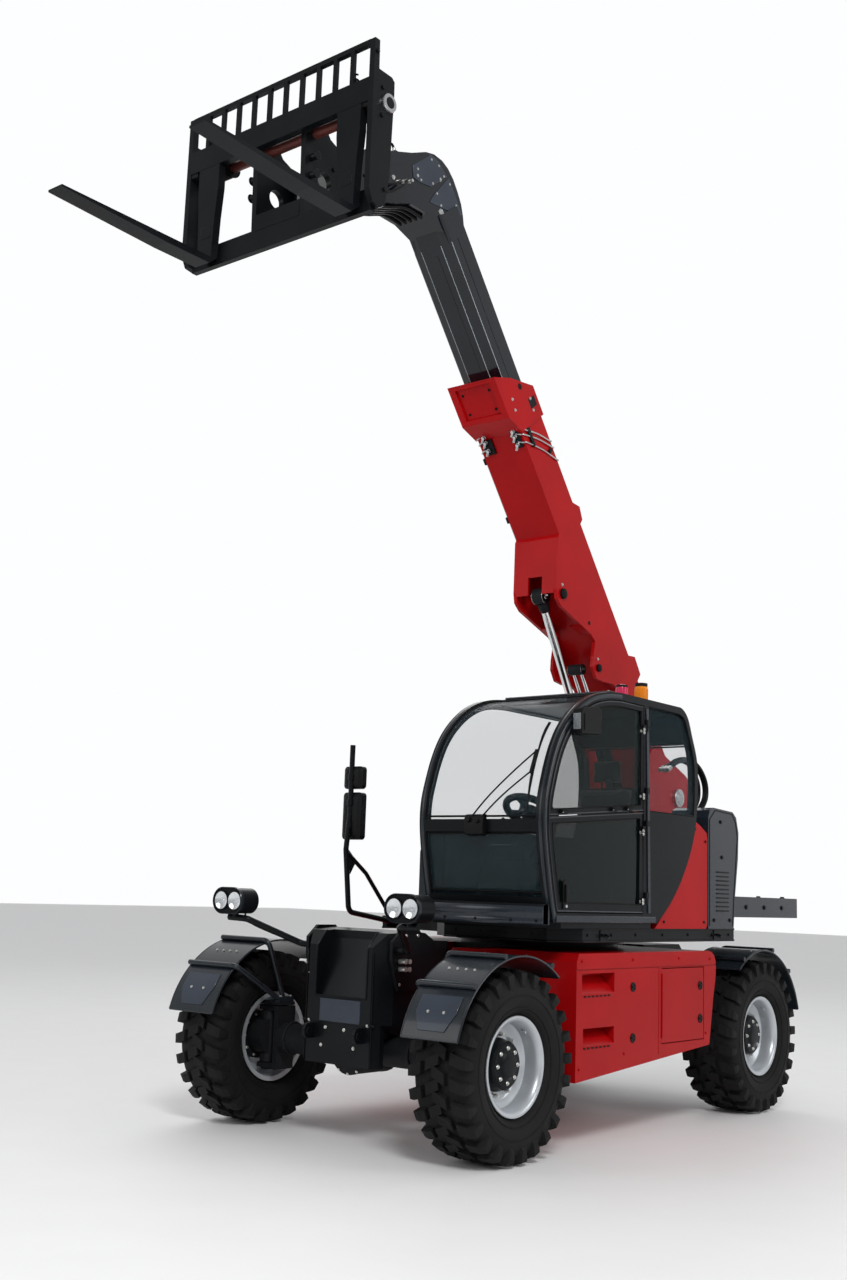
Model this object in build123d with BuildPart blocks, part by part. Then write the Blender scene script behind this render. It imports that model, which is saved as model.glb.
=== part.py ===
from build123d import *
import math
import os

os.makedirs("parts", exist_ok=True)

# ---------------------------------------------------------------- driving dimensions (mm)
YF = -945.0            # front axle line along Y; the machine's front looks along -Y
WHEELBASE = 3080.0
TRACK_HALF = 954.5     # wheel centre plane
HUB_Z = 537.5          # wheel centre height, the tyre's radius
TYRE_R = 537.5
TYRE_W = 405.0
RIM_R = 279.5          # rim flange radius
KINGPIN_X = 840.0
SLEW_Y = 1850.0        # slew axis behind the front axle
RING_R = 560.0
TAIL_R = 2250.0        # tail swing radius
DECK_Z0, DECK_Z1 = 1216.0, 1300.0
SLAB_Z0, SLAB_Z1 = 1382.0, 1530.0
CAB_X0, CAB_X1 = 180.0, 1120.0   # cab's right and left faces
CAB_WALL = 50.0
DOOR_HINGE_X, DOOR_HINGE_Y = 1130.0, 1402.0
BELT_Z = 2054.0        # split between the two door leaves
BOOM_X = -180.0        # boom's middle plane
BOOM_W = 400.0
BOOM_ANGLE = math.radians(51.4)
PIVOT_Y, PIVOT_Z = 3720.0, 2320.0
BOOM_TOP, BOOM_BOT = 135.0, -185.0
BOOM_WALL = 12.0
TILT_Y, TILT_Z = -580.0, 5990.0
LIFT_Y, LIFT_Z = 3300.0, 1650.0
COMP_Y, COMP_Z = 3500.0, 1850.0
LIFT_S, LIFT_N = 2164.0, -420.0
COMP_S, COMP_N = 1452.0, -325.0
FORK_Z = 5435.0
FORK_TIP_Y = -2210.0

cb, sb = math.cos(BOOM_ANGLE), math.sin(BOOM_ANGLE)


def boom_point(s, n):
    """Side-view point (y, z) from the boom's own length s and height n."""
    return (PIVOT_Y - s * cb + n * sb, PIVOT_Z + s * sb + n * cb)


def side_plate(x0, x1, pts, mode=Mode.ADD):
    """A side-view outline (y, z) extruded from x0 to x1."""
    lo, hi = min(x0, x1), max(x0, x1)
    with BuildSketch(Plane.YZ.offset(lo)) as sk:
        with BuildLine():
            Polyline(*[(y + YF, z) for y, z in pts], close=True)
        make_face()
    extrude(sk.sketch, amount=hi - lo, mode=mode)


def plan_plate(z0, z1, pts, mode=Mode.ADD):
    """A plan outline (x, y) extruded from z0 to z1."""
    with BuildSketch(Plane.XY.offset(z0)) as sk:
        with BuildLine():
            Polyline(*[(x, y + YF) for x, y in pts], close=True)
        make_face()
    extrude(sk.sketch, amount=z1 - z0, mode=mode)


def block(x0, x1, y0, y1, z0, z1, mode=Mode.ADD):
    x0, x1 = min(x0, x1), max(x0, x1)
    y0, y1 = min(y0, y1), max(y0, y1)
    with BuildSketch(Plane.XY.offset(z0)) as sk:
        with Locations(((x0 + x1) / 2, (y0 + y1) / 2 + YF)):
            Rectangle(x1 - x0, y1 - y0)
    extrude(sk.sketch, amount=z1 - z0, mode=mode)


def front_plate(y0, y1, pts, mode=Mode.ADD):
    """A front-view outline (x, z) extruded from y0 back to y1."""
    lo, hi = min(y0, y1), max(y0, y1)
    with BuildSketch(Plane(origin=(0, hi + YF, 0), x_dir=(1, 0, 0), z_dir=(0, -1, 0))) as sk:
        with BuildLine():
            Polyline(*pts, close=True)
        make_face()
    extrude(sk.sketch, amount=hi - lo, mode=mode)


def round_bar(p, q, r, mode=Mode.ADD):
    """A straight round bar from p to q."""
    a = Vector(p[0], p[1] + YF, p[2])
    b = Vector(q[0], q[1] + YF, q[2])
    with BuildSketch(Plane(origin=a, z_dir=b - a)) as sk:
        Circle(r)
    extrude(sk.sketch, amount=(b - a).length, mode=mode)


def bent_tube(pts, r, bend, mode=Mode.ADD):
    """A round tube swept along straight runs with tangent bends."""
    v = [Vector(p[0], p[1] + YF, p[2]) for p in pts]
    with BuildLine() as route:
        FilletPolyline(*v, radius=bend)
    with BuildSketch(Plane(origin=v[0], z_dir=v[1] - v[0])) as sk:
        Circle(r)
    sweep(sk.sketch, path=route.line, mode=mode)


def ring_sector(x0, x1, cy, cz, r0, r1, a0, a1, mode=Mode.ADD):
    """A curved sheet between two radii and two angles of the side view, extruded from x0 to x1."""
    lo, hi = min(x0, x1), max(x0, x1)

    def at(r, a):
        return (cy + YF + r * math.cos(math.radians(a)), cz + r * math.sin(math.radians(a)))

    mid = (a0 + a1) / 2
    with BuildSketch(Plane.YZ.offset(lo)) as sk:
        with BuildLine():
            ThreePointArc(at(r1, a0), at(r1, mid), at(r1, a1))
            Line(at(r1, a1), at(r0, a1))
            ThreePointArc(at(r0, a1), at(r0, mid), at(r0, a0))
            Line(at(r0, a0), at(r1, a0))
        make_face()
    extrude(sk.sketch, amount=hi - lo, mode=mode)


def boom_plate(xa, xb, pts, mode=Mode.ADD):
    """An outline in the boom's own (s, n) extruded from x = xa down to x = xb."""
    hi, lo = max(xa, xb), min(xa, xb)
    pl = Plane(origin=(hi, PIVOT_Y + YF, PIVOT_Z), x_dir=(0, -cb, sb), z_dir=(-1, 0, 0))
    with BuildSketch(pl) as sk:
        with BuildLine():
            Polyline(*pts, close=True)
        make_face()
    extrude(sk.sketch, amount=hi - lo, mode=mode)


def boom_section(s0, s1, pts, mode=Mode.ADD):
    """A cross-section outline (x, n) extruded along the boom from s0 to s1."""
    y0, z0 = boom_point(s0, 0)
    pl = Plane(origin=(0, y0 + YF, z0), x_dir=(1, 0, 0), z_dir=(0, -cb, sb))
    with BuildSketch(pl) as sk:
        with BuildLine():
            Polyline(*pts, close=True)
        make_face()
    extrude(sk.sketch, amount=s1 - s0, mode=mode)


CORNERS = [
    ("front_left", 1, 0.0, -1),
    ("front_right", -1, 0.0, -1),
    ("rear_left", 1, WHEELBASE, 1),
    ("rear_right", -1, WHEELBASE, 1),
]

# ---------------------------------------------------------------- wheels, knuckles and fenders
for tag, sx, yc, out in CORNERS:
    wc = Vector(sx * TRACK_HALF, yc + YF, HUB_Z)
    wheel_plane = Plane(origin=wc, x_dir=(1, 0, 0), z_dir=(0, -1, 0))
    wheel_axis = Axis(origin=wc, direction=(1, 0, 0))

    # tyre: bulged sidewalls, rounded shoulders, nearly flat tread
    with BuildPart() as tyre:
        with BuildSketch(wheel_plane):
            with BuildLine():
                Polyline((-148, 284), (-148, 255.3), (148, 255.3), (148, 284))
                for side in (-1, 1):
                    ThreePointArc((side * 148, 284), (side * 188.2, 335.9), (side * 202.5, 400))
                    ThreePointArc((side * 202.5, 400), (side * 199.9, 446.2), (side * 192, 492))
                    ThreePointArc((side * 192, 492), (side * 179, 521), (side * 150, 533))
                ThreePointArc((-150, 533), (0, TYRE_R), (150, 533))
            make_face()
        revolve(axis=wheel_axis)
    tyre.part.label = f"tyre_{tag}"
    export_step(tyre.part, f"parts/tyre_{tag}.step")

    # rim: flanged barrel with stepped dish, disc and planetary hub; outboard is +sx
    with BuildPart() as rim:
        with BuildSketch(wheel_plane):
            with BuildLine():
                Polyline(
                    *[(sx * a, b) for a, b in [
                        (-165, 279.5), (-156, 279.5), (-151, 262), (-149, 255), (149, 255), (151, 262),
                        (156, 279.5), (165, 279.5), (160, 252), (130, 240), (95, 236), (88, 216), (40, 210),
                        (30, 196), (24, 150), (24, 138), (92, 132), (104, 118), (106, 70), (118, 64), (120, 0),
                        (6, 0), (6, 190), (-10, 214), (-60, 244), (-150, 247), (-160, 252)]],
                    close=True)
            make_face()
        revolve(axis=wheel_axis)
    rim.part.label = f"rim_{tag}"
    export_step(rim.part, f"parts/rim_{tag}.step")

    # knuckle: hub carrier on a kingpin, with the arm that carries the fender's stays
    with BuildPart() as knuckle:
        round_bar((sx * KINGPIN_X, yc, HUB_Z - 160), (sx * KINGPIN_X, yc, HUB_Z + 160), 52)
        round_bar((sx * KINGPIN_X, yc, HUB_Z - 205), (sx * KINGPIN_X, yc, HUB_Z + 212), 27.5)
        round_bar((sx * 800, yc, HUB_Z), (sx * 925, yc, HUB_Z), 112)
        round_bar((sx * 925, yc, HUB_Z), (sx * 946, yc, HUB_Z), 150)
        block(sx * 685, sx * 880, yc - 70, yc + 70, 739, 757)
        # steering arm below the axle line
        block(sx * 800, sx * 850, yc - out * 60, yc - out * 215, 470, 500)
    knuckle.part.label = f"knuckle_{tag}"
    export_step(knuckle.part, f"parts/knuckle_{tag}.step")

    # fender: arched sheet over the tyre with rolled lip, three cross tubes and two bent stays
    def on_arc(deg, r):
        """A point above the wheel, deg counted from the outward horizontal."""
        a = math.radians(deg)
        return (yc + out * r * math.cos(a), HUB_Z + r * math.sin(a))

    with BuildPart() as fender:
        a_lo, a_hi = (16, 128) if out > 0 else (52, 164)
        ring_sector(sx * 752, sx * 1150, yc, HUB_Z, 606, 614, a_lo, a_hi)
        for deg, foot in ((46, 50), (75, 10)):
            ty, tz = on_arc(deg, 630)
            bent_tube([(sx * 1150, ty, tz), (sx * 724, ty, tz), (sx * 716, yc + out * foot, 776)], 16.5, 45)
        ty, tz = on_arc(119, 630)
        round_bar((sx * 1150, ty, tz), (sx * 765, ty, tz), 16.5)
        block(sx * 696, sx * 736, yc - 68, yc + 68, 757, 792)
    fender.part.label = f"fender_{tag}"
    export_step(fender.part, f"parts/fender_{tag}.step")

# ---------------------------------------------------------------- chassis
with BuildPart() as axle_housings:
    for yc, out in ((0.0, -1), (WHEELBASE, 1)):
        round_bar((-690, yc, HUB_Z), (690, yc, HUB_Z), 92)
        round_bar((0, yc - 150, HUB_Z), (0, yc + 150, HUB_Z), 148)
        block(-200, 200, yc - 110, yc + 110, 600, 700)
        for sx in (-1, 1):
            block(sx * 685, sx * 725, yc - 75, yc + 75, HUB_Z - 195, HUB_Z + 195)
            block(sx * 725, sx * 885, yc - 50, yc + 50, HUB_Z + 165, HUB_Z + 195)
            block(sx * 725, sx * 885, yc - 50, yc + 50, HUB_Z - 195, HUB_Z - 165)
            round_bar((sx * KINGPIN_X, yc, HUB_Z - 230), (sx * KINGPIN_X, yc, HUB_Z + 230), 28, mode=Mode.SUBTRACT)
        # steering cylinder behind the axle beam
        round_bar((-330, yc - out * 150, HUB_Z - 60), (330, yc - out * 150, HUB_Z - 60), 38)
        block(-120, 120, yc - out * 60, yc - out * 150, HUB_Z - 80, HUB_Z - 40)
axle_housings.part.label = "axle_housings"
export_step(axle_housings.part, "parts/axle_housings.step")

with BuildPart() as chassis_frame:
    # front nose with its sloping recess
    side_plate(-330, 330, [(-270, 700), (-270, 1150), (-190, 1235), (20, 1250), (130, 1238), (215, 1195), (350, 1190), (350, 700)])
    block(-290, 290, -268, -180, 455, 700)
    # the recess is deep at the top and runs out to the front face
    side_plate(-190, 215, [(-275, 850), (-275, 1300), (-130, 1300), (-130, 1190), (-238, 850)], mode=Mode.SUBTRACT)
    for sx in (-1, 1):
        plan_plate(440, 1400, [(sx * 335, -275), (sx * 250, -275), (sx * 335, -150)], mode=Mode.SUBTRACT)
    # cheek plates that carry the lamp arms and couplings
    side_plate(330, 352, [(-140, 900), (-205, 1080), (-205, 1190), (-120, 1262), (40, 1262), (120, 1180), (200, 1100), (200, 900)])
    side_plate(-352, -330, [(-140, 900), (-205, 1080), (-205, 1190), (-120, 1262), (40, 1262), (120, 1180), (200, 1100), (200, 900)])
    # main beam between the axles and the rear block
    block(-320, 320, 350, 2700, 640, 1075)
    side_plate(-330, 330, [(2700, 700), (2700, 1075), (2760, 1150), (3300, 1150), (3380, 1080), (3380, 700)])
    block(-290, 290, 3290, 3378, 455, 700)
    # lower half of the slew ring
    block(-320, 320, 1270, 2430, 1075, 1150)
    with BuildSketch(Plane.XY.offset(1150)):
        with Locations((0, SLEW_Y + YF)):
            Circle(RING_R)
            Circle(RING_R - 120, mode=Mode.SUBTRACT)
    extrude(amount=20)
chassis_frame.part.label = "chassis_frame"
export_step(chassis_frame.part, "parts/chassis_frame.step")

BODY_SIDE = [(640, 395), (640, 1100), (665, 1150), (2320, 1150), (2368, 1141), (2404, 1116), (2424, 1082), (2428, 1040), (2422, 960), (2395, 860), (2330, 520)]

with BuildPart() as left_side_body:
    side_plate(500, 1100, BODY_SIDE)
    side_plate(320, 500, [(390, 900), (390, 1120), (420, 1150), (2385, 1150), (2425, 1118), (2425, 960), (2330, 560), (640, 480), (640, 900)])
    # two step recesses near the front
    front_plate(700, 1075, [(1105, 1030), (1000, 1030), (1000, 1012), (1105, 905)], mode=Mode.SUBTRACT)
    front_plate(720, 1075, [(1105, 705), (1005, 705), (1005, 690), (1105, 600)], mode=Mode.SUBTRACT)
    # long pressed line under the top edge, and the line at the battery compartment
    block(1094, 1105, 630, 2440, 1050, 1057, mode=Mode.SUBTRACT)
    block(1094, 1105, 1628, 1634, 500, 1050, mode=Mode.SUBTRACT)
    # battery compartment behind the rear hatch
    block(700, 1110, 1668, 2252, 560, 1046, mode=Mode.SUBTRACT)
left_side_body.part.label = "left_side_body"
export_step(left_side_body.part, "parts/left_side_body.step")

with BuildPart() as battery_hatch:
    block(1068, 1098, 1674, 2246, 566, 1040)
    # long hinge on its front edge
    block(1097, 1104, 1674.5, 1684, 600, 1010)
    block(1100.5, 1104, 1672, 1684, 600, 1010)
    round_bar((1104, 1672, 600), (1104, 1672, 1010), 3.6)
battery_hatch.part.label = "battery_hatch"
export_step(battery_hatch.part, "parts/battery_hatch.step")

with BuildPart() as right_engine_bay:
    side_plate(-1100, -500, BODY_SIDE)
    side_plate(-500, -320, [(390, 900), (390, 1120), (420, 1150), (2385, 1150), (2425, 1118), (2425, 960), (2330, 560), (640, 480), (640, 900)])
    block(-1110, -420, 760, 2240, 560, 1060, mode=Mode.SUBTRACT)
    block(-1105, -1094, 630, 2440, 1076, 1083, mode=Mode.SUBTRACT)
right_engine_bay.part.label = "right_engine_bay"
export_step(right_engine_bay.part, "parts/right_engine_bay.step")

with BuildPart() as engine_hood:
    block(-1098, -1068, 766, 2234, 566, 1054)
    # long hinge along its top edge
    block(-1104, -1097, 800, 2200, 1044, 1053.5)
    block(-1104, -1100.5, 800, 2200, 1044, 1058)
    round_bar((-1104, 800, 1058), (-1104, 2200, 1058), 3.6)
engine_hood.part.label = "engine_hood"
export_step(engine_hood.part, "parts/engine_hood.step")

with BuildPart() as engine:
    block(-1020, -460, 900, 2100, 560, 1000)
engine.part.label = "engine"
export_step(engine.part, "parts/engine.step")

with BuildPart() as headlamps:
    for sx in (-1, 1):
        bent_tube([(sx * 352.2, -160, 1140), (sx * 430, -160, 1140), (sx * 620, -470, 1286), (sx * 765, -478, 1290)], 20, 50)
        with BuildSketch(Plane(origin=(sx * 706, -410 + YF, 1392), x_dir=(1, 0, 0), z_dir=(0, -1, 0))):
            SlotOverall(250, 156)
        extrude(amount=140)
        round_bar((sx * 706, -480, 1290), (sx * 706, -480, 1330), 18)
headlamps.part.label = "headlamps"
export_step(headlamps.part, "parts/headlamps.step")

# ---------------------------------------------------------------- turret
with BuildPart() as turret_base:
    with BuildSketch(Plane.XY.offset(1171)):
        with Locations((0, SLEW_Y + YF)):
            Circle(RING_R + 40)
            Circle(RING_R - 120, mode=Mode.SUBTRACT)
    extrude(amount=DECK_Z0 - 1171)
    plan_plate(DECK_Z0, DECK_Z1, [(-800, 1282), (-1000, 1282), (-1000, 2780), (1060, 2780), (1060, 760), (930, 560), (200, 480), (80, 560), (-80, 1100), (-500, 1220)])
    plan_plate(DECK_Z1, 1335, [(200, 360), (960, 360), (1085, 480), (1085, 1545), (200, 1545)])
    # curved apron in front of the cab
    with BuildSketch(Plane.XY.offset(1322)):
        with BuildLine():
            Line((165, 302 + YF), (165, 235 + YF))
            ThreePointArc((165, 235 + YF), (640, 158 + YF), (1112, 252 + YF))
            Line((1112, 252 + YF), (1112, 302 + YF))
            Line((1112, 302 + YF), (165, 302 + YF))
        make_face()
    extrude(amount=118)
    block(240, 1000, 300, 420, 1322, 1334)
    # webs up to the tail frame, and the tail frame itself
    block(-500, 150, 2300, 2990, DECK_Z1, SLAB_Z0)
    block(-440, 80, 2990, 3900, SLAB_Z0 - 90, SLAB_Z0)
    plan_plate(SLAB_Z0, SLAB_Z1, [(-560, 2300), (-560, 2860), (150, 2860), (150, 2300)])
turret_base.part.label = "turret_base"
export_step(turret_base.part, "parts/turret_base.step")

with BuildPart() as counterweight:
    tail_x = 1075.0
    tail_y = SLEW_Y + math.sqrt(TAIL_R ** 2 - tail_x ** 2) + YF
    with BuildSketch(Plane.XY.offset(SLAB_Z0)):
        with BuildLine():
            ThreePointArc((tail_x, tail_y), (0, SLEW_Y + TAIL_R + YF), (-tail_x, tail_y))
            Polyline((-tail_x, tail_y), (-tail_x, 2785 + YF), (-560, 2785 + YF), (-560, 2862 + YF), (250, 2862 + YF),
                     (250, 2745 + YF), (tail_x, 2745 + YF), (tail_x, tail_y))
        make_face()
    extrude(amount=SLAB_Z1 - SLAB_Z0)
counterweight.part.label = "counterweight"
export_step(counterweight.part, "parts/counterweight.step")

with BuildPart() as rear_cowls:
    side_plate(800, 1100, [(2316, 1300), (2316, 2075), (2340, 2125), (2395, 2146), (2690, 2132), (2745, 2095), (2782, 1985), (2772, 1800), (2725, 1532), (2700, 1300)])
    side_plate(160, 790, [(2330, 1300), (2330, 1830), (2380, 1880), (2640, 1880), (2700, 1820), (2700, 1532), (2690, 1300)])
    side_plate(-1090, -560, [(1800, 1300), (1800, 1790), (1830, 1850), (1890, 1880), (2650, 1880), (2730, 1840), (2765, 1780), (2760, 1532), (2700, 1300)])
rear_cowls.part.label = "rear_cowls"
export_step(rear_cowls.part, "parts/rear_cowls.step")

TOWER = [(2870, 1530), (2960, 1900), (3270, 2630), (3305, 2680), (3350, 2703), (3400, 2700), (3870, 2515), (3935, 2475), (3975, 2410), (3990, 2300), (3985, 1530)]
with BuildPart() as boom_tower:
    side_plate(35, 75, TOWER)
    side_plate(-435, -395, TOWER)
    block(-395, 35, 3900, 3960, 1530, 2020)
    # boom pivot pin, lift cylinder pin and levelling cylinder pin
    for py, pz, r in ((PIVOT_Y, PIVOT_Z, 45), (LIFT_Y, LIFT_Z, 30), (COMP_Y, COMP_Z, 22)):
        round_bar((-470, py, pz), (105, py, pz), r)
boom_tower.part.label = "boom_tower"
export_step(boom_tower.part, "parts/boom_tower.step")

with BuildPart() as side_panel:
    side_plate(1040, 1096, [(1580, 1300), (1712, 1410), (1866, 1555), (2003, 1742), (2106, 1955), (2140, 2030), (2200, 2010), (2300, 1960), (2312, 1925), (2312, 1330), (2290, 1300)])
side_panel.part.label = "side_panel"
export_step(side_panel.part, "parts/side_panel.step")

# ---------------------------------------------------------------- cab
CAB_OUT = [(345, 1335), (305, 1470), (262, 1650), (232, 1800), (218, 1930), (226, 2060), (258, 2180), (300, 2300), (352, 2410),
           (420, 2510), (510, 2600), (620, 2680), (760, 2745), (930, 2785), (1100, 2800), (1850, 2800), (1930, 2780), (1985, 2730),
           (2030, 2640), (2110, 2460), (2122, 2200), (2085, 1960), (1985, 1750), (1850, 1570), (1700, 1430), (1560, 1335)]


def inset(pts, d):
    """Move every edge of a closed outline inwards by d."""
    out_pts = []
    n = len(pts)
    area = sum(pts[i][0] * pts[(i + 1) % n][1] - pts[(i + 1) % n][0] * pts[i][1] for i in range(n))
    sgn = 1 if area > 0 else -1
    for i in range(n):
        p0, p1, p2 = pts[i - 1], pts[i], pts[(i + 1) % n]
        def nrm(a, b):
            dx, dy = b[0] - a[0], b[1] - a[1]
            L = math.hypot(dx, dy)
            return (-dy / L * sgn, dx / L * sgn)
        n1, n2 = nrm(p0, p1), nrm(p1, p2)
        k = 1 + n1[0] * n2[0] + n1[1] * n2[1]
        out_pts.append((p1[0] + d * (n1[0] + n2[0]) / k, p1[1] + d * (n1[1] + n2[1]) / k))
    return out_pts


def cab_section(x0, x1, d, mode=Mode.ADD):
    """The cab's side outline moved inwards by d, with curved front and rear."""
    pts = [(y + YF, z) for y, z in (inset(CAB_OUT, d) if d else CAB_OUT)]
    with BuildSketch(Plane.YZ.offset(x0)) as sk:
        with BuildLine():
            Spline(*pts[:15])
            Line(pts[14], pts[15])
            Spline(*pts[15:])
            Line(pts[-1], pts[0])
        make_face()
    extrude(sk.sketch, amount=x1 - x0, mode=mode)


def smooth(pts, steps=3):
    """More points along a curve that runs through pts."""
    res = []
    for i in range(len(pts) - 1):
        p0, p1, p2, p3 = pts[max(i - 1, 0)], pts[i], pts[i + 1], pts[min(i + 2, len(pts) - 1)]
        for k in range(steps):
            t = k / steps
            res.append(tuple(0.5 * (2 * p1[j] + (p2[j] - p0[j]) * t + (2 * p0[j] - 5 * p1[j] + 4 * p2[j] - p3[j]) * t ** 2
                                    + (3 * p1[j] - p0[j] - 3 * p2[j] + p3[j]) * t ** 3) for j in (0, 1)))
    return res + [pts[-1]]


def keep_side(poly, f):
    """The part of a closed outline where f is positive."""
    res = []
    for i in range(len(poly)):
        a, b = poly[i], poly[(i + 1) % len(poly)]
        fa, fb = f(a), f(b)
        if fa >= 0:
            res.append(a)
        if (fa >= 0) != (fb >= 0):
            t = fa / (fa - fb)
            res.append((a[0] + t * (b[0] - a[0]), a[1] + t * (b[1] - a[1])))
    return res


def arch(d):
    """The cab's outline moved inwards by d, finely divided."""
    pts = inset(CAB_OUT, d)
    return smooth(pts[:15]) + smooth(pts[15:])


def belt(y):
    """The split between the door leaves falls slightly towards the front."""
    return BELT_Z + 0.088 * (y - 1390)


# door opening between the front pillar and the door post
DOOR_OPEN = keep_side(keep_side(arch(48), lambda p: p[1] - 1392), lambda p: 1386 - p[0])


WIN_FRONT_X0, WIN_FRONT_X1 = CAB_X0 + 46, CAB_X1 - 54


def quarter(d):
    """The rear side window, behind the door post."""
    return keep_side(keep_side(arch(46 + d), lambda p: p[0] - 1452 - d), lambda p: p[1] - 2062 - d)


def right_window(d):
    return keep_side(arch(60 + d), lambda p: p[1] - 1900 - d)


FRONT_SPLIT0, FRONT_SPLIT1 = 1862, 1938   # crossbar between the two front windows
HINGE_Z = (1452, 1916, 2130, 2580)        # door hinges, two to a leaf

with BuildPart() as cab_frame:
    cab_section(CAB_X0, CAB_X1, 0)
    cab_section(CAB_X0 + CAB_WALL, CAB_X1 - CAB_WALL, CAB_WALL, mode=Mode.SUBTRACT)
    # windscreen running into the roof glass, and the lower front window
    block(WIN_FRONT_X0, WIN_FRONT_X1, 150, 1010, FRONT_SPLIT1, 2860, mode=Mode.SUBTRACT)
    block(WIN_FRONT_X0, WIN_FRONT_X1, 150, 420, 1480, FRONT_SPLIT0, mode=Mode.SUBTRACT)
    # rear window
    block(WIN_FRONT_X0, WIN_FRONT_X1, 2000, 2200, 1980, 2560, mode=Mode.SUBTRACT)
    side_plate(CAB_X1 - CAB_WALL - 5, CAB_X1 + 5, DOOR_OPEN, mode=Mode.SUBTRACT)
    side_plate(CAB_X1 - CAB_WALL - 5, CAB_X1 + 5, quarter(0), mode=Mode.SUBTRACT)
    side_plate(CAB_X0 - 5, CAB_X0 + CAB_WALL + 5, right_window(0), mode=Mode.SUBTRACT)
    # fixed halves of the four door hinges
    for z in HINGE_Z:
        block(1118, 1135, 1402, 1440, z + 43, z + 80)
        round_bar((1132, 1402, z + 43), (1132, 1402, z + 80), 10)
    # seat pedestal on the floor
    block(440, 860, 1150, 1600, 1380, 1640)
cab_frame.part.label = "cab_frame"
export_step(cab_frame.part, "parts/cab_frame.step")

# curved windscreen with roof glass, lower front window, rear, right and quarter windows
with BuildPart() as cab_glass:
    cab_section(WIN_FRONT_X0 + 1, WIN_FRONT_X1 - 1, 16)
    cab_section(WIN_FRONT_X0, WIN_FRONT_X1, 24, mode=Mode.SUBTRACT)
    wx0, wx1 = WIN_FRONT_X0 - 5, WIN_FRONT_X1 + 5
    block(wx0, wx1, 100, 2300, 1300, 1481, mode=Mode.SUBTRACT)
    block(wx0, wx1, 100, 1200, FRONT_SPLIT0 - 1, FRONT_SPLIT1 + 1, mode=Mode.SUBTRACT)
    block(wx0, wx1, 1009, 2300, 2559, 2900, mode=Mode.SUBTRACT)
    block(wx0, wx1, 1400, 2300, 1300, 1981, mode=Mode.SUBTRACT)
    side_plate(CAB_X1 - 20, CAB_X1 - 12, quarter(1))
    side_plate(CAB_X0 + 22, CAB_X0 + 30, right_window(1))
cab_glass.part.label = "cab_glass"
export_step(cab_glass.part, "parts/cab_glass.step")

LEAF = inset(DOOR_OPEN, 6)
UPPER = keep_side(LEAF, lambda p: p[1] - belt(p[0]) - 3)
LOWER = keep_side(LEAF, lambda p: belt(p[0]) - 3 - p[1])


def upper_window(d):
    return keep_side(inset(LEAF, 34 + d), lambda p: p[1] - belt(p[0]) - 40 - d)


def lower_window(d):
    return keep_side(keep_side(inset(LEAF, 44 + d), lambda p: belt(p[0]) - 42 - d - p[1]), lambda p: p[1] - 1452 - d)


def door_hinges(heights):
    """Moving halves of a leaf's hinges, on the axis beside the door post."""
    for z in heights:
        block(1118, 1135, 1352, 1376, z, z + 40)
        block(1122, 1135, 1352, 1404, z, z + 40)
        round_bar((1132, 1402, z), (1132, 1402, z + 40), 10)


with BuildPart() as upper_door:
    side_plate(CAB_X1 - CAB_WALL, CAB_X1, UPPER)
    door_hinges(HINGE_Z[2:])
    side_plate(CAB_X1 - CAB_WALL - 5, CAB_X1 + 5, upper_window(0), mode=Mode.SUBTRACT)
upper_door.part.label = "upper_door"
export_step(upper_door.part, "parts/upper_door.step")

with BuildPart() as upper_door_glass:
    side_plate(CAB_X1 - 20, CAB_X1 - 12, upper_window(1))
upper_door_glass.part.label = "upper_door_glass"
export_step(upper_door_glass.part, "parts/upper_door_glass.step")

with BuildPart() as lower_door:
    side_plate(CAB_X1 - CAB_WALL, CAB_X1, LOWER)
    door_hinges(HINGE_Z[:2])
    side_plate(CAB_X1 - CAB_WALL - 5, CAB_X1 + 5, lower_window(0), mode=Mode.SUBTRACT)
lower_door.part.label = "lower_door"
export_step(lower_door.part, "parts/lower_door.step")

with BuildPart() as lower_door_glass:
    side_plate(CAB_X1 - 20, CAB_X1 - 12, lower_window(1))
lower_door_glass.part.label = "lower_door_glass"
export_step(lower_door_glass.part, "parts/lower_door_glass.step")

# operator's seat: cushion, backrest and headrest
with BuildPart() as operator_seat:
    block(420, 880, 1120, 1610, 1640, 1760)
    side_plate(430, 870, [(1520, 1762), (1640, 2250), (1740, 2250), (1680, 1762)])
    side_plate(520, 780, [(1640, 2252), (1650, 2450), (1730, 2450), (1740, 2252)])
operator_seat.part.label = "operator_seat"
export_step(operator_seat.part, "parts/operator_seat.step")

# front console, steering column and wheel
with BuildPart() as controls:
    side_plate(500, 800, [(440, 1385), (420, 1560), (500, 1700), (600, 1700), (640, 1385)])
    round_bar((650, 560, 1690), (650, 760, 2000), 35)
    with BuildSketch(Plane(origin=(650, 760 + YF, 2000), z_dir=(0, 200, 310))):
        Circle(185)
        Circle(150, mode=Mode.SUBTRACT)
        Rectangle(320, 34)
        Circle(50)
    extrude(amount=30)
    block(900, 1040, 1100, 1560, 1640, 1800)
    block(900, 1040, 1150, 1500, 1385, 1640)
controls.part.label = "controls"
export_step(controls.part, "parts/controls.step")

# amber beacon and the work lamp under the roof's front corner
with BuildPart() as roof_lights:
    round_bar((880, 1750, 2800), (880, 1750, 2838), 52)
    round_bar((880, 1750, 2838), (880, 1750, 2965), 44)
    round_bar((838, 1560, 2800), (838, 1560, 2930), 40)
roof_lights.part.label = "roof_lights"
export_step(roof_lights.part, "parts/roof_lights.step")

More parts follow.
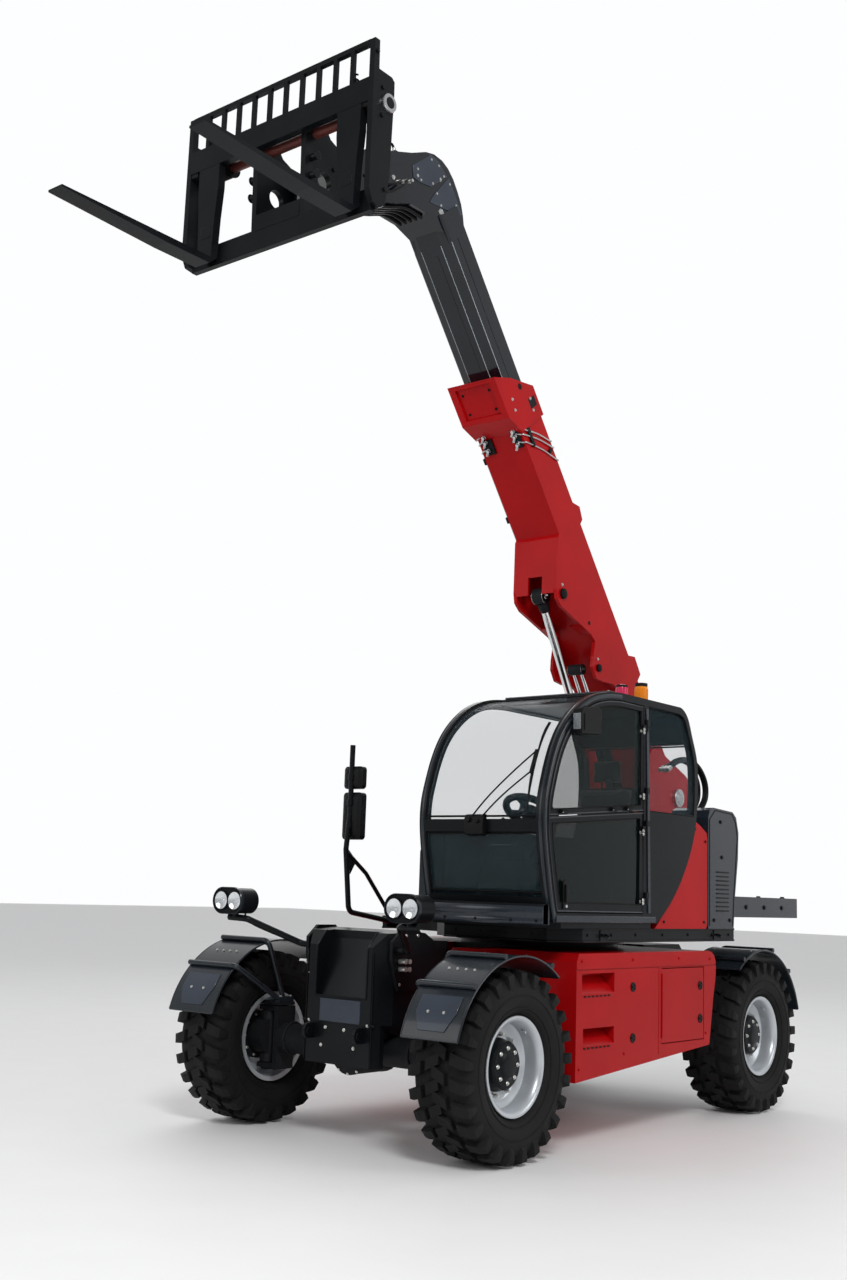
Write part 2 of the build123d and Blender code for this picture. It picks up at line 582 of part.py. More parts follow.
# mirror bracket of bent tube on the deck's right front, with two mirror heads
with BuildPart() as mirrors:
    bent_tube([(-900, 762, 2500), (-900, 762, 2020), (-900, 735, 1760), (-900, 790, 1330), (-900, 1278, 1262)], 19, 60)
    bent_tube([(-900, 742, 1745), (-900, 960, 1600), (-900, 1269, 1285)], 15, 60)
    for xm, y1, zm, w, h in ((-897.5, 822, 2270, 175, 160), (-898.5, 832, 1998.5, 173, 333)):
        with BuildSketch(Plane(origin=(xm, y1 + YF, zm), x_dir=(1, 0, 0), z_dir=(0, -1, 0))):
            RectangleRounded(w, h, 28)
        extrude(amount=y1 - 781)
mirrors.part.label = "mirrors"
export_step(mirrors.part, "parts/mirrors.step")

# ---------------------------------------------------------------- cylinders
lift_eye = boom_point(LIFT_S, LIFT_N)
comp_eye = boom_point(COMP_S, COMP_N)


def along(y0, z0, y1, z1, d):
    L = math.hypot(y1 - y0, z1 - z0)
    return (y0 + (y1 - y0) * d / L, z0 + (z1 - z0) * d / L)


def cyl_bar(x, y0, z0, y1, z1, d0, d1, r, mode=Mode.ADD):
    a = along(y0, z0, y1, z1, d0)
    b = along(y0, z0, y1, z1, d1)
    round_bar((x, a[0], a[1]), (x, b[0], b[1]), r, mode)


lift_len = math.hypot(lift_eye[0] - LIFT_Y, lift_eye[1] - LIFT_Z)
comp_len = math.hypot(comp_eye[0] - COMP_Y, comp_eye[1] - COMP_Z)

with BuildPart() as lift_cylinder:
    round_bar((BOOM_X - 40, LIFT_Y, LIFT_Z), (BOOM_X + 40, LIFT_Y, LIFT_Z), 60)
    cyl_bar(BOOM_X, LIFT_Y, LIFT_Z, *lift_eye, 40, 1500, 68)
    cyl_bar(BOOM_X, LIFT_Y, LIFT_Z, *lift_eye, 140, 1510, 52, Mode.SUBTRACT)
    cyl_bar(BOOM_X, LIFT_Y, LIFT_Z, *lift_eye, 1440, 1500, 68)
    cyl_bar(BOOM_X, LIFT_Y, LIFT_Z, *lift_eye, 1430, 1510, 32.3, Mode.SUBTRACT)
    round_bar((BOOM_X - 60, LIFT_Y, LIFT_Z), (BOOM_X + 60, LIFT_Y, LIFT_Z), 30.05, Mode.SUBTRACT)
lift_cylinder.part.label = "lift_cylinder"
export_step(lift_cylinder.part, "parts/lift_cylinder.step")

with BuildPart() as lift_rod:
    cyl_bar(BOOM_X, LIFT_Y, LIFT_Z, *lift_eye, lift_len - 1560, lift_len - 30, 32)
    cyl_bar(BOOM_X, LIFT_Y, LIFT_Z, *lift_eye, lift_len - 1560, lift_len - 1500, 51)
    round_bar((BOOM_X - 48, *lift_eye), (BOOM_X + 48, *lift_eye), 62)
    round_bar((BOOM_X - 60, *lift_eye), (BOOM_X + 60, *lift_eye), 28, Mode.SUBTRACT)
lift_rod.part.label = "lift_rod"
export_step(lift_rod.part, "parts/lift_rod.step")

with BuildPart() as levelling_cylinder:
    round_bar((BOOM_X - 70, COMP_Y, COMP_Z), (BOOM_X + 70, COMP_Y, COMP_Z), 42)
    for dx in (-36, 36):
        cyl_bar(BOOM_X + dx, COMP_Y, COMP_Z, *comp_eye, 30, 1080, 33)
        cyl_bar(BOOM_X + dx, COMP_Y, COMP_Z, *comp_eye, 80, 1090, 26, Mode.SUBTRACT)
        cyl_bar(BOOM_X + dx, COMP_Y, COMP_Z, *comp_eye, 1040, 1080, 33)
        cyl_bar(BOOM_X + dx, COMP_Y, COMP_Z, *comp_eye, 1030, 1090, 15.3, Mode.SUBTRACT)
    round_bar((BOOM_X - 90, COMP_Y, COMP_Z), (BOOM_X + 90, COMP_Y, COMP_Z), 22.05, Mode.SUBTRACT)
levelling_cylinder.part.label = "levelling_cylinder"
export_step(levelling_cylinder.part, "parts/levelling_cylinder.step")

with BuildPart() as levelling_rod:
    for dx in (-36, 36):
        cyl_bar(BOOM_X + dx, COMP_Y, COMP_Z, *comp_eye, comp_len - 1120, comp_len - 20, 15)
        cyl_bar(BOOM_X + dx, COMP_Y, COMP_Z, *comp_eye, comp_len - 1120, comp_len - 1080, 25)
    round_bar((BOOM_X - 62, *comp_eye), (BOOM_X + 62, *comp_eye), 42)
    round_bar((BOOM_X - 70, *comp_eye), (BOOM_X + 70, *comp_eye), 20, Mode.SUBTRACT)
levelling_rod.part.label = "levelling_rod"
export_step(levelling_rod.part, "parts/levelling_rod.step")

# ---------------------------------------------------------------- boom
BX0, BX1 = BOOM_X - BOOM_W / 2, BOOM_X + BOOM_W / 2
RECT = [(BX0, BOOM_BOT), (BX1, BOOM_BOT), (BX1, BOOM_TOP), (BX0, BOOM_TOP)]
BORE = [(BX0 + BOOM_WALL, BOOM_BOT + BOOM_WALL), (BX1 - BOOM_WALL, BOOM_BOT + BOOM_WALL),
        (BX1 - BOOM_WALL, BOOM_TOP - BOOM_WALL), (BX0 + BOOM_WALL, BOOM_TOP - BOOM_WALL)]
LUGS = [(2560, -180), (2545, -215), (2235, -470), (2170, -505), (2090, -490), (1720, -255), (1640, -235), (1560, -330), (1500, -385),
        (1400, -395), (1330, -330), (1240, -215), (1180, -180)]

with BuildPart() as boom_outer:
    boom_section(-230, 3560, RECT)
    # deeper collar at the mouth with slanted front, stop block and tail ears
    boom_plate(BX1 + 15, BX0 - 15, [(3405, 150), (3405, -190), (3560, -290), (3880, -290), (3800, -100), (3640, 150)])
    boom_plate(BX1 - 6, BX0 + 6, [(2480, 134), (2500, 190), (2600, 215), (2680, 134)])
    boom_plate(BX1, BX0, [(1060, 134), (1080, 205), (1240, 215), (1300, 134)])
    for xa in (BX1, BX0 + 28):
        boom_plate(xa, xa - 28, LUGS)
    # front closing plate of the lug box, notched round the rod's eye, and the rear closing plate
    boom_plate(BX1 - 28, BX0 + 28, [(2560, -180), (2545, -215), (2215, -488), (2204, -474), (2522, -205), (2522, -180)])
    boom_plate(BOOM_X + 64, BOOM_X - 64, [(2320, -360), (2320, -560), (2100, -560), (2100, -360)], mode=Mode.SUBTRACT)
    boom_plate(BX1 - 28, BX0 + 28, [(1840, -338), (1722, -252), (1722, -236), (1850, -326)])
    boom_plate(BOOM_X + 95, BOOM_X - 95, [(1900, -440), (1690, -290), (1690, -200), (1900, -290)], mode=Mode.SUBTRACT)
    # bolted stop block in a recess under the collar
    boom_plate(BX1 - 40, BX0 + 40, [(3600, -270), (3600, -300), (3850, -300), (3835, -270)], mode=Mode.SUBTRACT)
    boom_section(-240, 3900, BORE, mode=Mode.SUBTRACT)
    # pivot bore, and the stubs of the cylinders' pins in the lugs
    round_bar((BX0 - 30, PIVOT_Y, PIVOT_Z), (BX1 + 30, PIVOT_Y, PIVOT_Z), 45.05, Mode.SUBTRACT)
    for ss, nn, r in ((LIFT_S, LIFT_N, 36), (COMP_S, COMP_N, 26)):
        py, pz = boom_point(ss, nn)
        round_bar((BX1 + 14, py, pz), (BX1 - 40, py, pz), r)
        round_bar((BX0 - 14, py, pz), (BX0 + 40, py, pz), r)
boom_outer.part.label = "boom_outer"
export_step(boom_outer.part, "parts/boom_outer.step")

INNER = [(-350, -130), (-270, -160), (-90, -160), (-10, -130), (-10, 85), (-35, 112), (-325, 112), (-350, 85)]
INNER_BORE = [(-340, -122), (-267, -150), (-93, -150), (-20, -122), (-20, 82), (-38, 102), (-322, 102), (-340, 82)]
NOSE = [(731, 6300), (705, 6380), (660, 6455), (604, 6530), (540, 6585), (470, 6615), (377, 6622), (287, 6599), (137, 6525), (-210, 6390), (-520, 6235),
        (-620, 6150), (-675, 6075), (-700, 5990), (-668, 5905), (-580, 5870), (-480, 5860), (-190, 6020), (150, 6150), (330, 6150), (512, 6098), (834, 5774)]

with BuildPart() as boom_inner:
    boom_section(1210, 5060, INNER)
    boom_section(1200, 4960, INNER_BORE, mode=Mode.SUBTRACT)
    side_plate(-330, -30, NOSE)
    round_bar((-400, TILT_Y, TILT_Z), (40, TILT_Y, TILT_Z), 40.05, Mode.SUBTRACT)
boom_inner.part.label = "boom_inner"
export_step(boom_inner.part, "parts/boom_inner.step")

# ---------------------------------------------------------------- attachment
with BuildPart() as carriage_pin:
    round_bar((-420, TILT_Y, TILT_Z), (60, TILT_Y, TILT_Z), 40)
carriage_pin.part.label = "carriage_pin"
export_step(carriage_pin.part, "parts/carriage_pin.step")

CAR_X0, CAR_X1 = -995.0, 647.0
SHAFT_Z = 6156.0
with BuildPart() as fork_carriage:
    for xa, xb in ((CAR_X0, CAR_X0 + 40), (CAR_X1 - 40, CAR_X1)):
        side_plate(xa, xb, [(-1035, 5560), (-1035, 6530), (-992, 6530), (-988, 6345), (-870, 6345), (-845, 6325), (-843, 6240), (-858, 5700), (-890, 5500), (-925, 5478), (-1000, 5490)])
    block(CAR_X0 + 40, CAR_X1 - 40, -1035, -1000, 6500, 6532)
    block(CAR_X0 + 40, CAR_X1 - 40, -1035, -985, 6130, 6285)
    block(CAR_X0 + 40, CAR_X1 - 40, -970, -930, 5455, 5600)
    pitch = (CAR_X1 - CAR_X0 - 80) / 11
    for i in range(10):
        xm = CAR_X0 + 40 + pitch * (i + 1)
        block(xm - 15, xm + 15, -1035, -1012, 6285, 6500)
    round_bar((CAR_X0 + 10, -900, SHAFT_Z), (CAR_X1 + 25, -900, SHAFT_Z), 32)
    # coupler side plates that reach back to the boom's pin
    for xa, xb in ((-412, -372), (12, 52)):
        side_plate(xa, xb, [(-985, 6284), (-985, 6132), (-968, 5600), (-945, 5492), (-885, 5492), (-820, 5600), (-700, 5700), (-500, 5900), (-482, 6000), (-520, 6090), (-600, 6120), (-760, 6180), (-840, 6284)])
        round_bar((xa - 20, TILT_Y, TILT_Z), (xb + 20, TILT_Y, TILT_Z), 40.05, Mode.SUBTRACT)
        round_bar((xa - 20, -800, 5880), (xb + 20, -800, 5880), 62, Mode.SUBTRACT)
    block(-372, 12, -972, -935, 5590, 5700)
fork_carriage.part.label = "fork_carriage"
export_step(fork_carriage.part, "parts/fork_carriage.step")

with BuildPart() as forks:
    for xa in (-830, 399):
        # blade with a thinned tip, then the shank that widens towards its top hook
        side_plate(xa, xa + 130, [(-1042, 5560), (-1042, 5480), (FORK_TIP_Y, 5480), (FORK_TIP_Y, 5466), (-1400, FORK_Z), (-1050, FORK_Z), (-985, 5490), (-985, 5560)])
        front_plate(-1042, -985, [(xa, 5500), (xa + 130, 5500), (xa + 142, 5760), (xa + 160, 5960), (xa + 160, 6122), (xa - 30, 6122), (xa - 30, 5960), (xa - 12, 5760)])
        side_plate(xa, xa + 130, [(-985, 6020), (-985, 6122), (-975, 6122), (-975, 6160), (-900, 6160), (-900, 6090)])
        round_bar((xa, -900, SHAFT_Z), (xa + 130, -900, SHAFT_Z), 58)
        round_bar((xa - 10, -900, SHAFT_Z), (xa + 140, -900, SHAFT_Z), 32.05, Mode.SUBTRACT)
forks.part.label = "forks"
export_step(forks.part, "parts/forks.step")
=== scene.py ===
import math
import bpy
import bmesh
from mathutils import Vector, Matrix


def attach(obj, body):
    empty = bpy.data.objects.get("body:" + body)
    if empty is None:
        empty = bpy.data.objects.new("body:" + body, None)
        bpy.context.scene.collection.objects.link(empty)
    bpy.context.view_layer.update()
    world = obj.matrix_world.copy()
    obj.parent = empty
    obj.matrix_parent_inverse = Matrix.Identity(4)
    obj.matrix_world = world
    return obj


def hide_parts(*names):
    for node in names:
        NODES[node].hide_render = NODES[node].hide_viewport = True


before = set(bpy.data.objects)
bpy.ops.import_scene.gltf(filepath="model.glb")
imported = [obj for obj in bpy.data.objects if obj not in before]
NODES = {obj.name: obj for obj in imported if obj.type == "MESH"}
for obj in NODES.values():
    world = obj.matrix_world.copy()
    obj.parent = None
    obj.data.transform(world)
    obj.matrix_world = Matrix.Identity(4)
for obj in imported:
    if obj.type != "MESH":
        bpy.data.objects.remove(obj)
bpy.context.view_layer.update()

YF = -0.945            # the front axle's place along Y
rad, cos, sin, pi = math.radians, math.cos, math.sin, math.pi


def V(x, y, z):
    """A point given from the front axle line."""
    return Vector((x, y + YF, z))


# ------------------------------------------------------------------ camera
cam_data = bpy.data.cameras.new("camera")
cam = bpy.data.objects.new("camera", cam_data)
bpy.context.scene.collection.objects.link(cam)
az, el, roll = rad(39.21), rad(9.985), rad(2.022)
fw = Vector((-sin(az) * cos(el), cos(az) * cos(el), sin(el)))
rt = Vector((cos(az), sin(az), 0))
up = rt.cross(fw)
r2 = rt * cos(roll) + up * sin(roll)
u2 = -rt * sin(roll) + up * cos(roll)
m = Matrix((r2, u2, -fw)).transposed().to_4x4()
m.translation = V(5.8673, -6.7773, 1.5008)
cam.matrix_world = m
cam_data.sensor_width = 36.0
cam_data.lens = 1416.5 / 1280.0 * 36.0
cam_data.clip_end = 200
bpy.context.scene.camera = cam

# ------------------------------------------------------------------ light and floor
world = bpy.data.worlds.new("world")
bpy.context.scene.world = world
world.use_nodes = True
wn = world.node_tree
bg = wn.nodes["Background"]
w_co = wn.nodes.new("ShaderNodeTexCoord")
w_dot = wn.nodes.new("ShaderNodeVectorMath")
w_dot.operation = "DOT_PRODUCT"
w_dot.inputs[1].default_value = (-0.62, 0.77, 0.12)
w_map = wn.nodes.new("ShaderNodeMapRange")
w_map.interpolation_type = "SMOOTHSTEP"
w_map.inputs["From Min"].default_value = -0.10
w_map.inputs["From Max"].default_value = 0.80
w_map.inputs["To Min"].default_value = 0.34
w_map.inputs["To Max"].default_value = 1.0
wn.links.new(w_co.outputs["Generated"], w_dot.inputs[0])
wn.links.new(w_dot.outputs["Value"], w_map.inputs["Value"])
wn.links.new(w_map.outputs["Result"], bg.inputs["Strength"])
bg.inputs["Color"].default_value = (0.985, 0.99, 1.0, 1)
bpy.context.scene.view_settings.view_transform = "Standard"


def area(name, loc, target, size, power, color=(1, 1, 1)):
    d = bpy.data.lights.new(name, "AREA")
    d.shape, d.size, d.energy, d.color = "DISK", size, power, color
    o = bpy.data.objects.new(name, d)
    bpy.context.scene.collection.objects.link(o)
    o.location = loc
    o.rotation_mode = "QUATERNION"
    o.rotation_quaternion = (Vector(target) - Vector(loc)).to_track_quat("-Z", "Y")
    return o


area("key", (9, -9, 11), (0, 0, 2), 4, 1150)
area("fill", (11, 4, 6), (0, 0, 2), 6, 260)
area("front", (-6, -11, 6), (0, -1, 2), 6, 200)
area("back", (-8, 9, 10), (0, 1, 3), 6, 160)

# ------------------------------------------------------------------ materials


def principled(name):
    mat = bpy.data.materials.new(name)
    mat.use_nodes = True
    nt = mat.node_tree
    return mat, nt, nt.nodes["Principled BSDF"]


def surface(name, color, rough, metal=0.0, grain=60.0, bump=0.05, vary=0.12, rough_vary=0.12, coat=0.0, fine=0.0, spec=0.5, dust=0.0):
    """A finish with slow colour drift, uneven gloss and a fine grain."""
    mat, nt, b = principled(name)
    n, l = nt.nodes, nt.links
    co = n.new("ShaderNodeTexCoord")
    big = n.new("ShaderNodeTexNoise")
    big.inputs["Scale"].default_value = 2.3
    big.inputs["Detail"].default_value = 5.0
    small = n.new("ShaderNodeTexNoise")
    small.inputs["Scale"].default_value = grain
    small.inputs["Detail"].default_value = 6.0
    l.new(co.outputs["Object"], big.inputs["Vector"])
    l.new(co.outputs["Object"], small.inputs["Vector"])
    ramp = n.new("ShaderNodeValToRGB")
    lo = [max(0.0, c * (1 - vary)) for c in color]
    hi = [min(1.0, c * (1 + vary) + dust) for c in color]
    ramp.color_ramp.elements[0].position = 0.3
    ramp.color_ramp.elements[1].position = 0.72
    ramp.color_ramp.elements[0].color = (*lo, 1)
    ramp.color_ramp.elements[1].color = (*hi, 1)
    l.new(big.outputs["Fac"], ramp.inputs["Fac"])
    l.new(ramp.outputs["Color"], b.inputs["Base Color"])
    rr = n.new("ShaderNodeMapRange")
    rr.inputs["From Min"].default_value = 0.3
    rr.inputs["From Max"].default_value = 0.7
    rr.inputs["To Min"].default_value = max(0.02, rough - rough_vary / 2)
    rr.inputs["To Max"].default_value = min(1.0, rough + rough_vary / 2)
    l.new(small.outputs["Fac"], rr.inputs["Value"])
    l.new(rr.outputs["Result"], b.inputs["Roughness"])
    b.inputs["Metallic"].default_value = metal
    b.inputs["Specular IOR Level"].default_value = spec
    b.inputs["Coat Weight"].default_value = coat
    b.inputs["Coat Roughness"].default_value = 0.08
    if bump:
        bp = n.new("ShaderNodeBump")
        bp.inputs["Strength"].default_value = bump
        bp.inputs["Distance"].default_value = 0.002 + fine
        l.new(small.outputs["Fac"], bp.inputs["Height"])
        l.new(bp.outputs["Normal"], b.inputs["Normal"])
    return mat


def glassy(name, color, alpha_tint, rough=0.02):
    """Thin tinted glass: mostly see-through, with a clear reflection."""
    mat, nt, b = principled(name)
    n, l = nt.nodes, nt.links
    co = n.new("ShaderNodeTexCoord")
    nz = n.new("ShaderNodeTexNoise")
    nz.inputs["Scale"].default_value = 1.7
    l.new(co.outputs["Object"], nz.inputs["Vector"])
    mr = n.new("ShaderNodeMapRange")
    mr.inputs["To Min"].default_value = rough
    mr.inputs["To Max"].default_value = rough + 0.04
    l.new(nz.outputs["Fac"], mr.inputs["Value"])
    l.new(mr.outputs["Result"], b.inputs["Roughness"])
    b.inputs["Base Color"].default_value = (*color, 1)
    b.inputs["Alpha"].default_value = alpha_tint
    b.inputs["Specular IOR Level"].default_value = 0.20
    b.inputs["IOR"].default_value = 1.5
    return mat


M = {}
M["red"] = surface("red_paint", (0.38, 0.0026, 0.0042), 0.34, grain=220, bump=0.03, vary=0.10, coat=0.06, rough_vary=0.08, spec=0.10)
M["black"] = surface("black_painted_steel", (0.0042, 0.0052, 0.0066), 0.34, grain=180, bump=0.06, vary=0.3, coat=0.06, dust=0.001, spec=0.11)
M["plastic"] = surface("black_plastic", (0.0044, 0.0047, 0.0053), 0.46, grain=420, bump=0.12, vary=0.25, dust=0.001, spec=0.14)
M["fender"] = surface("black_fender", (0.0115, 0.0155, 0.0205), 0.30, grain=260, bump=0.06, vary=0.25, coat=0.22, dust=0.002, spec=0.26)
M["slate"] = surface("dark_slate_paint", (0.0100, 0.0150, 0.0225), 0.28, grain=200, bump=0.04, vary=0.2, coat=0.34, dust=0.002, spec=0.28)
M["rubber"] = surface("tyre_rubber", (0.0075, 0.0075, 0.0079), 0.68, grain=150, bump=0.35, vary=0.35, dust=0.003, spec=0.15)
M["rim"] = surface("silver_rim_paint", (0.52, 0.55, 0.58), 0.34, metal=0.55, grain=260, bump=0.03, vary=0.06, coat=0.2)
M["steel"] = surface("bright_steel", (0.58, 0.59, 0.60), 0.26, metal=1.0, grain=300, bump=0.03, vary=0.1)
M["chrome"] = surface("chromed_rod", (0.82, 0.83, 0.84), 0.09, metal=1.0, grain=400, bump=0.01, vary=0.05, rough_vary=0.05)
M["cast"] = surface("cast_iron", (0.012, 0.013, 0.015), 0.55, metal=0.2, grain=120, bump=0.3, vary=0.3, spec=0.18)
M["zinc"] = surface("zinc_bolts", (0.62, 0.62, 0.60), 0.32, metal=0.85, grain=300, bump=0.05, vary=0.12)
M["seal"] = surface("rubber_seal", (0.0035, 0.0035, 0.004), 0.6, grain=300, bump=0.1, spec=0.12)
M["hose"] = surface("hydraulic_hose", (0.0052, 0.0052, 0.006), 0.42, grain=500, bump=0.25, spec=0.18)
# silver grey used only for the painted highlight beads along the inner boom's ridges
M["post"] = surface("silver_grey_highlight", (0.28, 0.31, 0.33), 0.35, metal=0.6, grain=300, bump=0.03)
M["worn"] = surface("rust_worn_bar", (0.13, 0.030, 0.022), 0.5, metal=0.4, grain=70, bump=0.2, vary=0.5)
M["amber"] = glassy("amber_lens", (0.85, 0.26, 0.015), 0.97, 0.08)
M["pink"] = glassy("red_lens", (0.62, 0.03, 0.10), 0.95, 0.08)
M["glass"] = glassy("cab_glass", (0.045, 0.085, 0.105), 0.105)
M["glass_door"] = glassy("door_glass", (0.003, 0.010, 0.010), 0.42)
# near-black glass: on the lower door window and the lower windscreen sheet it is painted shade of the dim cab interior
# behind; it also makes the blank display's screen
M["glass_dark"] = glassy("dark_glass", (0.0030, 0.0070, 0.0068), 0.86)
M["lens"] = glassy("lamp_lens", (0.75, 0.80, 0.85), 0.22)
M["gloss"] = surface("gloss_black_paint", (0.0036, 0.0052, 0.0086), 0.13, grain=40, bump=0.14, vary=0.35, coat=0.40, rough_vary=0.22, spec=0.24)
M["patch"] = surface("slate_patch", (0.026, 0.035, 0.052), 0.32, grain=240, bump=0.05, vary=0.2, coat=0.2, spec=0.25)
M["mirror"] = surface("mirror_glass", (0.75, 0.78, 0.80), 0.03, metal=1.0, bump=0.0, grain=20, rough_vary=0.02, vary=0.02)
M["label"] = surface("blank_plate", (0.80, 0.80, 0.78), 0.4, grain=200, bump=0.02, vary=0.04)


def fabric(name, color):
    mat, nt, b = principled(name)
    n, l = nt.nodes, nt.links
    co = n.new("ShaderNodeTexCoord")
    w1 = n.new("ShaderNodeTexWave")
    w2 = n.new("ShaderNodeTexWave")
    w1.inputs["Scale"].default_value = 90
    w2.inputs["Scale"].default_value = 90
    w1.bands_direction, w2.bands_direction = "X", "Z"
    nz = n.new("ShaderNodeTexNoise")
    nz.inputs["Scale"].default_value = 35
    for t in (w1, w2, nz):
        l.new(co.outputs["Object"], t.inputs["Vector"])
    add = n.new("ShaderNodeMath")
    add.operation = "ADD"
    l.new(w1.outputs["Fac"], add.inputs[0])
    l.new(w2.outputs["Fac"], add.inputs[1])
    bp = n.new("ShaderNodeBump")
    bp.inputs["Strength"].default_value = 0.5
    bp.inputs["Distance"].default_value = 0.001
    l.new(add.outputs["Value"], bp.inputs["Height"])
    l.new(bp.outputs["Normal"], b.inputs["Normal"])
    ramp = n.new("ShaderNodeValToRGB")
    ramp.color_ramp.elements[0].color = (*[c * 0.7 for c in color], 1)
    ramp.color_ramp.elements[1].color = (*[c * 1.5 for c in color], 1)
    l.new(nz.outputs["Fac"], ramp.inputs["Fac"])
    l.new(ramp.outputs["Color"], b.inputs["Base Color"])
    b.inputs["Roughness"].default_value = 0.85
    b.inputs["Sheen Weight"].default_value = 0.3
    return mat


M["fabric"] = fabric("seat_cloth", (0.012, 0.0125, 0.014))

floor_mat = surface("studio_floor", (0.86, 0.86, 0.86), 0.6, grain=30, bump=0.0, vary=0.01)
fm = bpy.data.meshes.new("floor")
fm.from_pydata([(-60, -60, 0), (60, -60, 0), (60, 60, 0), (-60, 60, 0)], [], [(0, 1, 2, 3)])
floor = bpy.data.objects.new("floor", fm)
bpy.context.scene.collection.objects.link(floor)
fm.materials.append(floor_mat)

NODE_MAT = {
    "chassis_frame": "black", "axle_housings": "cast", "left_side_body": "red", "right_engine_bay": "red", "engine": "cast",
    "headlamps": "black", "battery_hatch": "red", "engine_hood": "red", "turret_base": "black", "counterweight": "slate",
    "rear_cowls": "slate", "boom_tower": "red", "side_panel": "red", "cab_frame": "black", "cab_glass": "glass",
    "operator_seat": "plastic", "controls": "plastic", "roof_lights": "plastic", "mirrors": "black", "upper_door": "black",
    "upper_door_glass": "glass_door", "lower_door": "black", "lower_door_glass": "glass_dark", "lift_cylinder": "red",
    "lift_rod": "chrome", "levelling_cylinder": "black", "levelling_rod": "chrome", "boom_outer": "red", "boom_inner": "gloss",
    "carriage_pin": "steel", "fork_carriage": "black", "forks": "black",
}
for name, o in NODES.items():
    key = NODE_MAT.get(name)
    if key is None:
        key = {"tyre": "rubber", "rim": "rim", "knuckle": "cast", "fender": "fender"}[name.split("_")[0]]
    o.data.materials.clear()
    o.data.materials.append(M[key])

# ------------------------------------------------------------------ shape builder


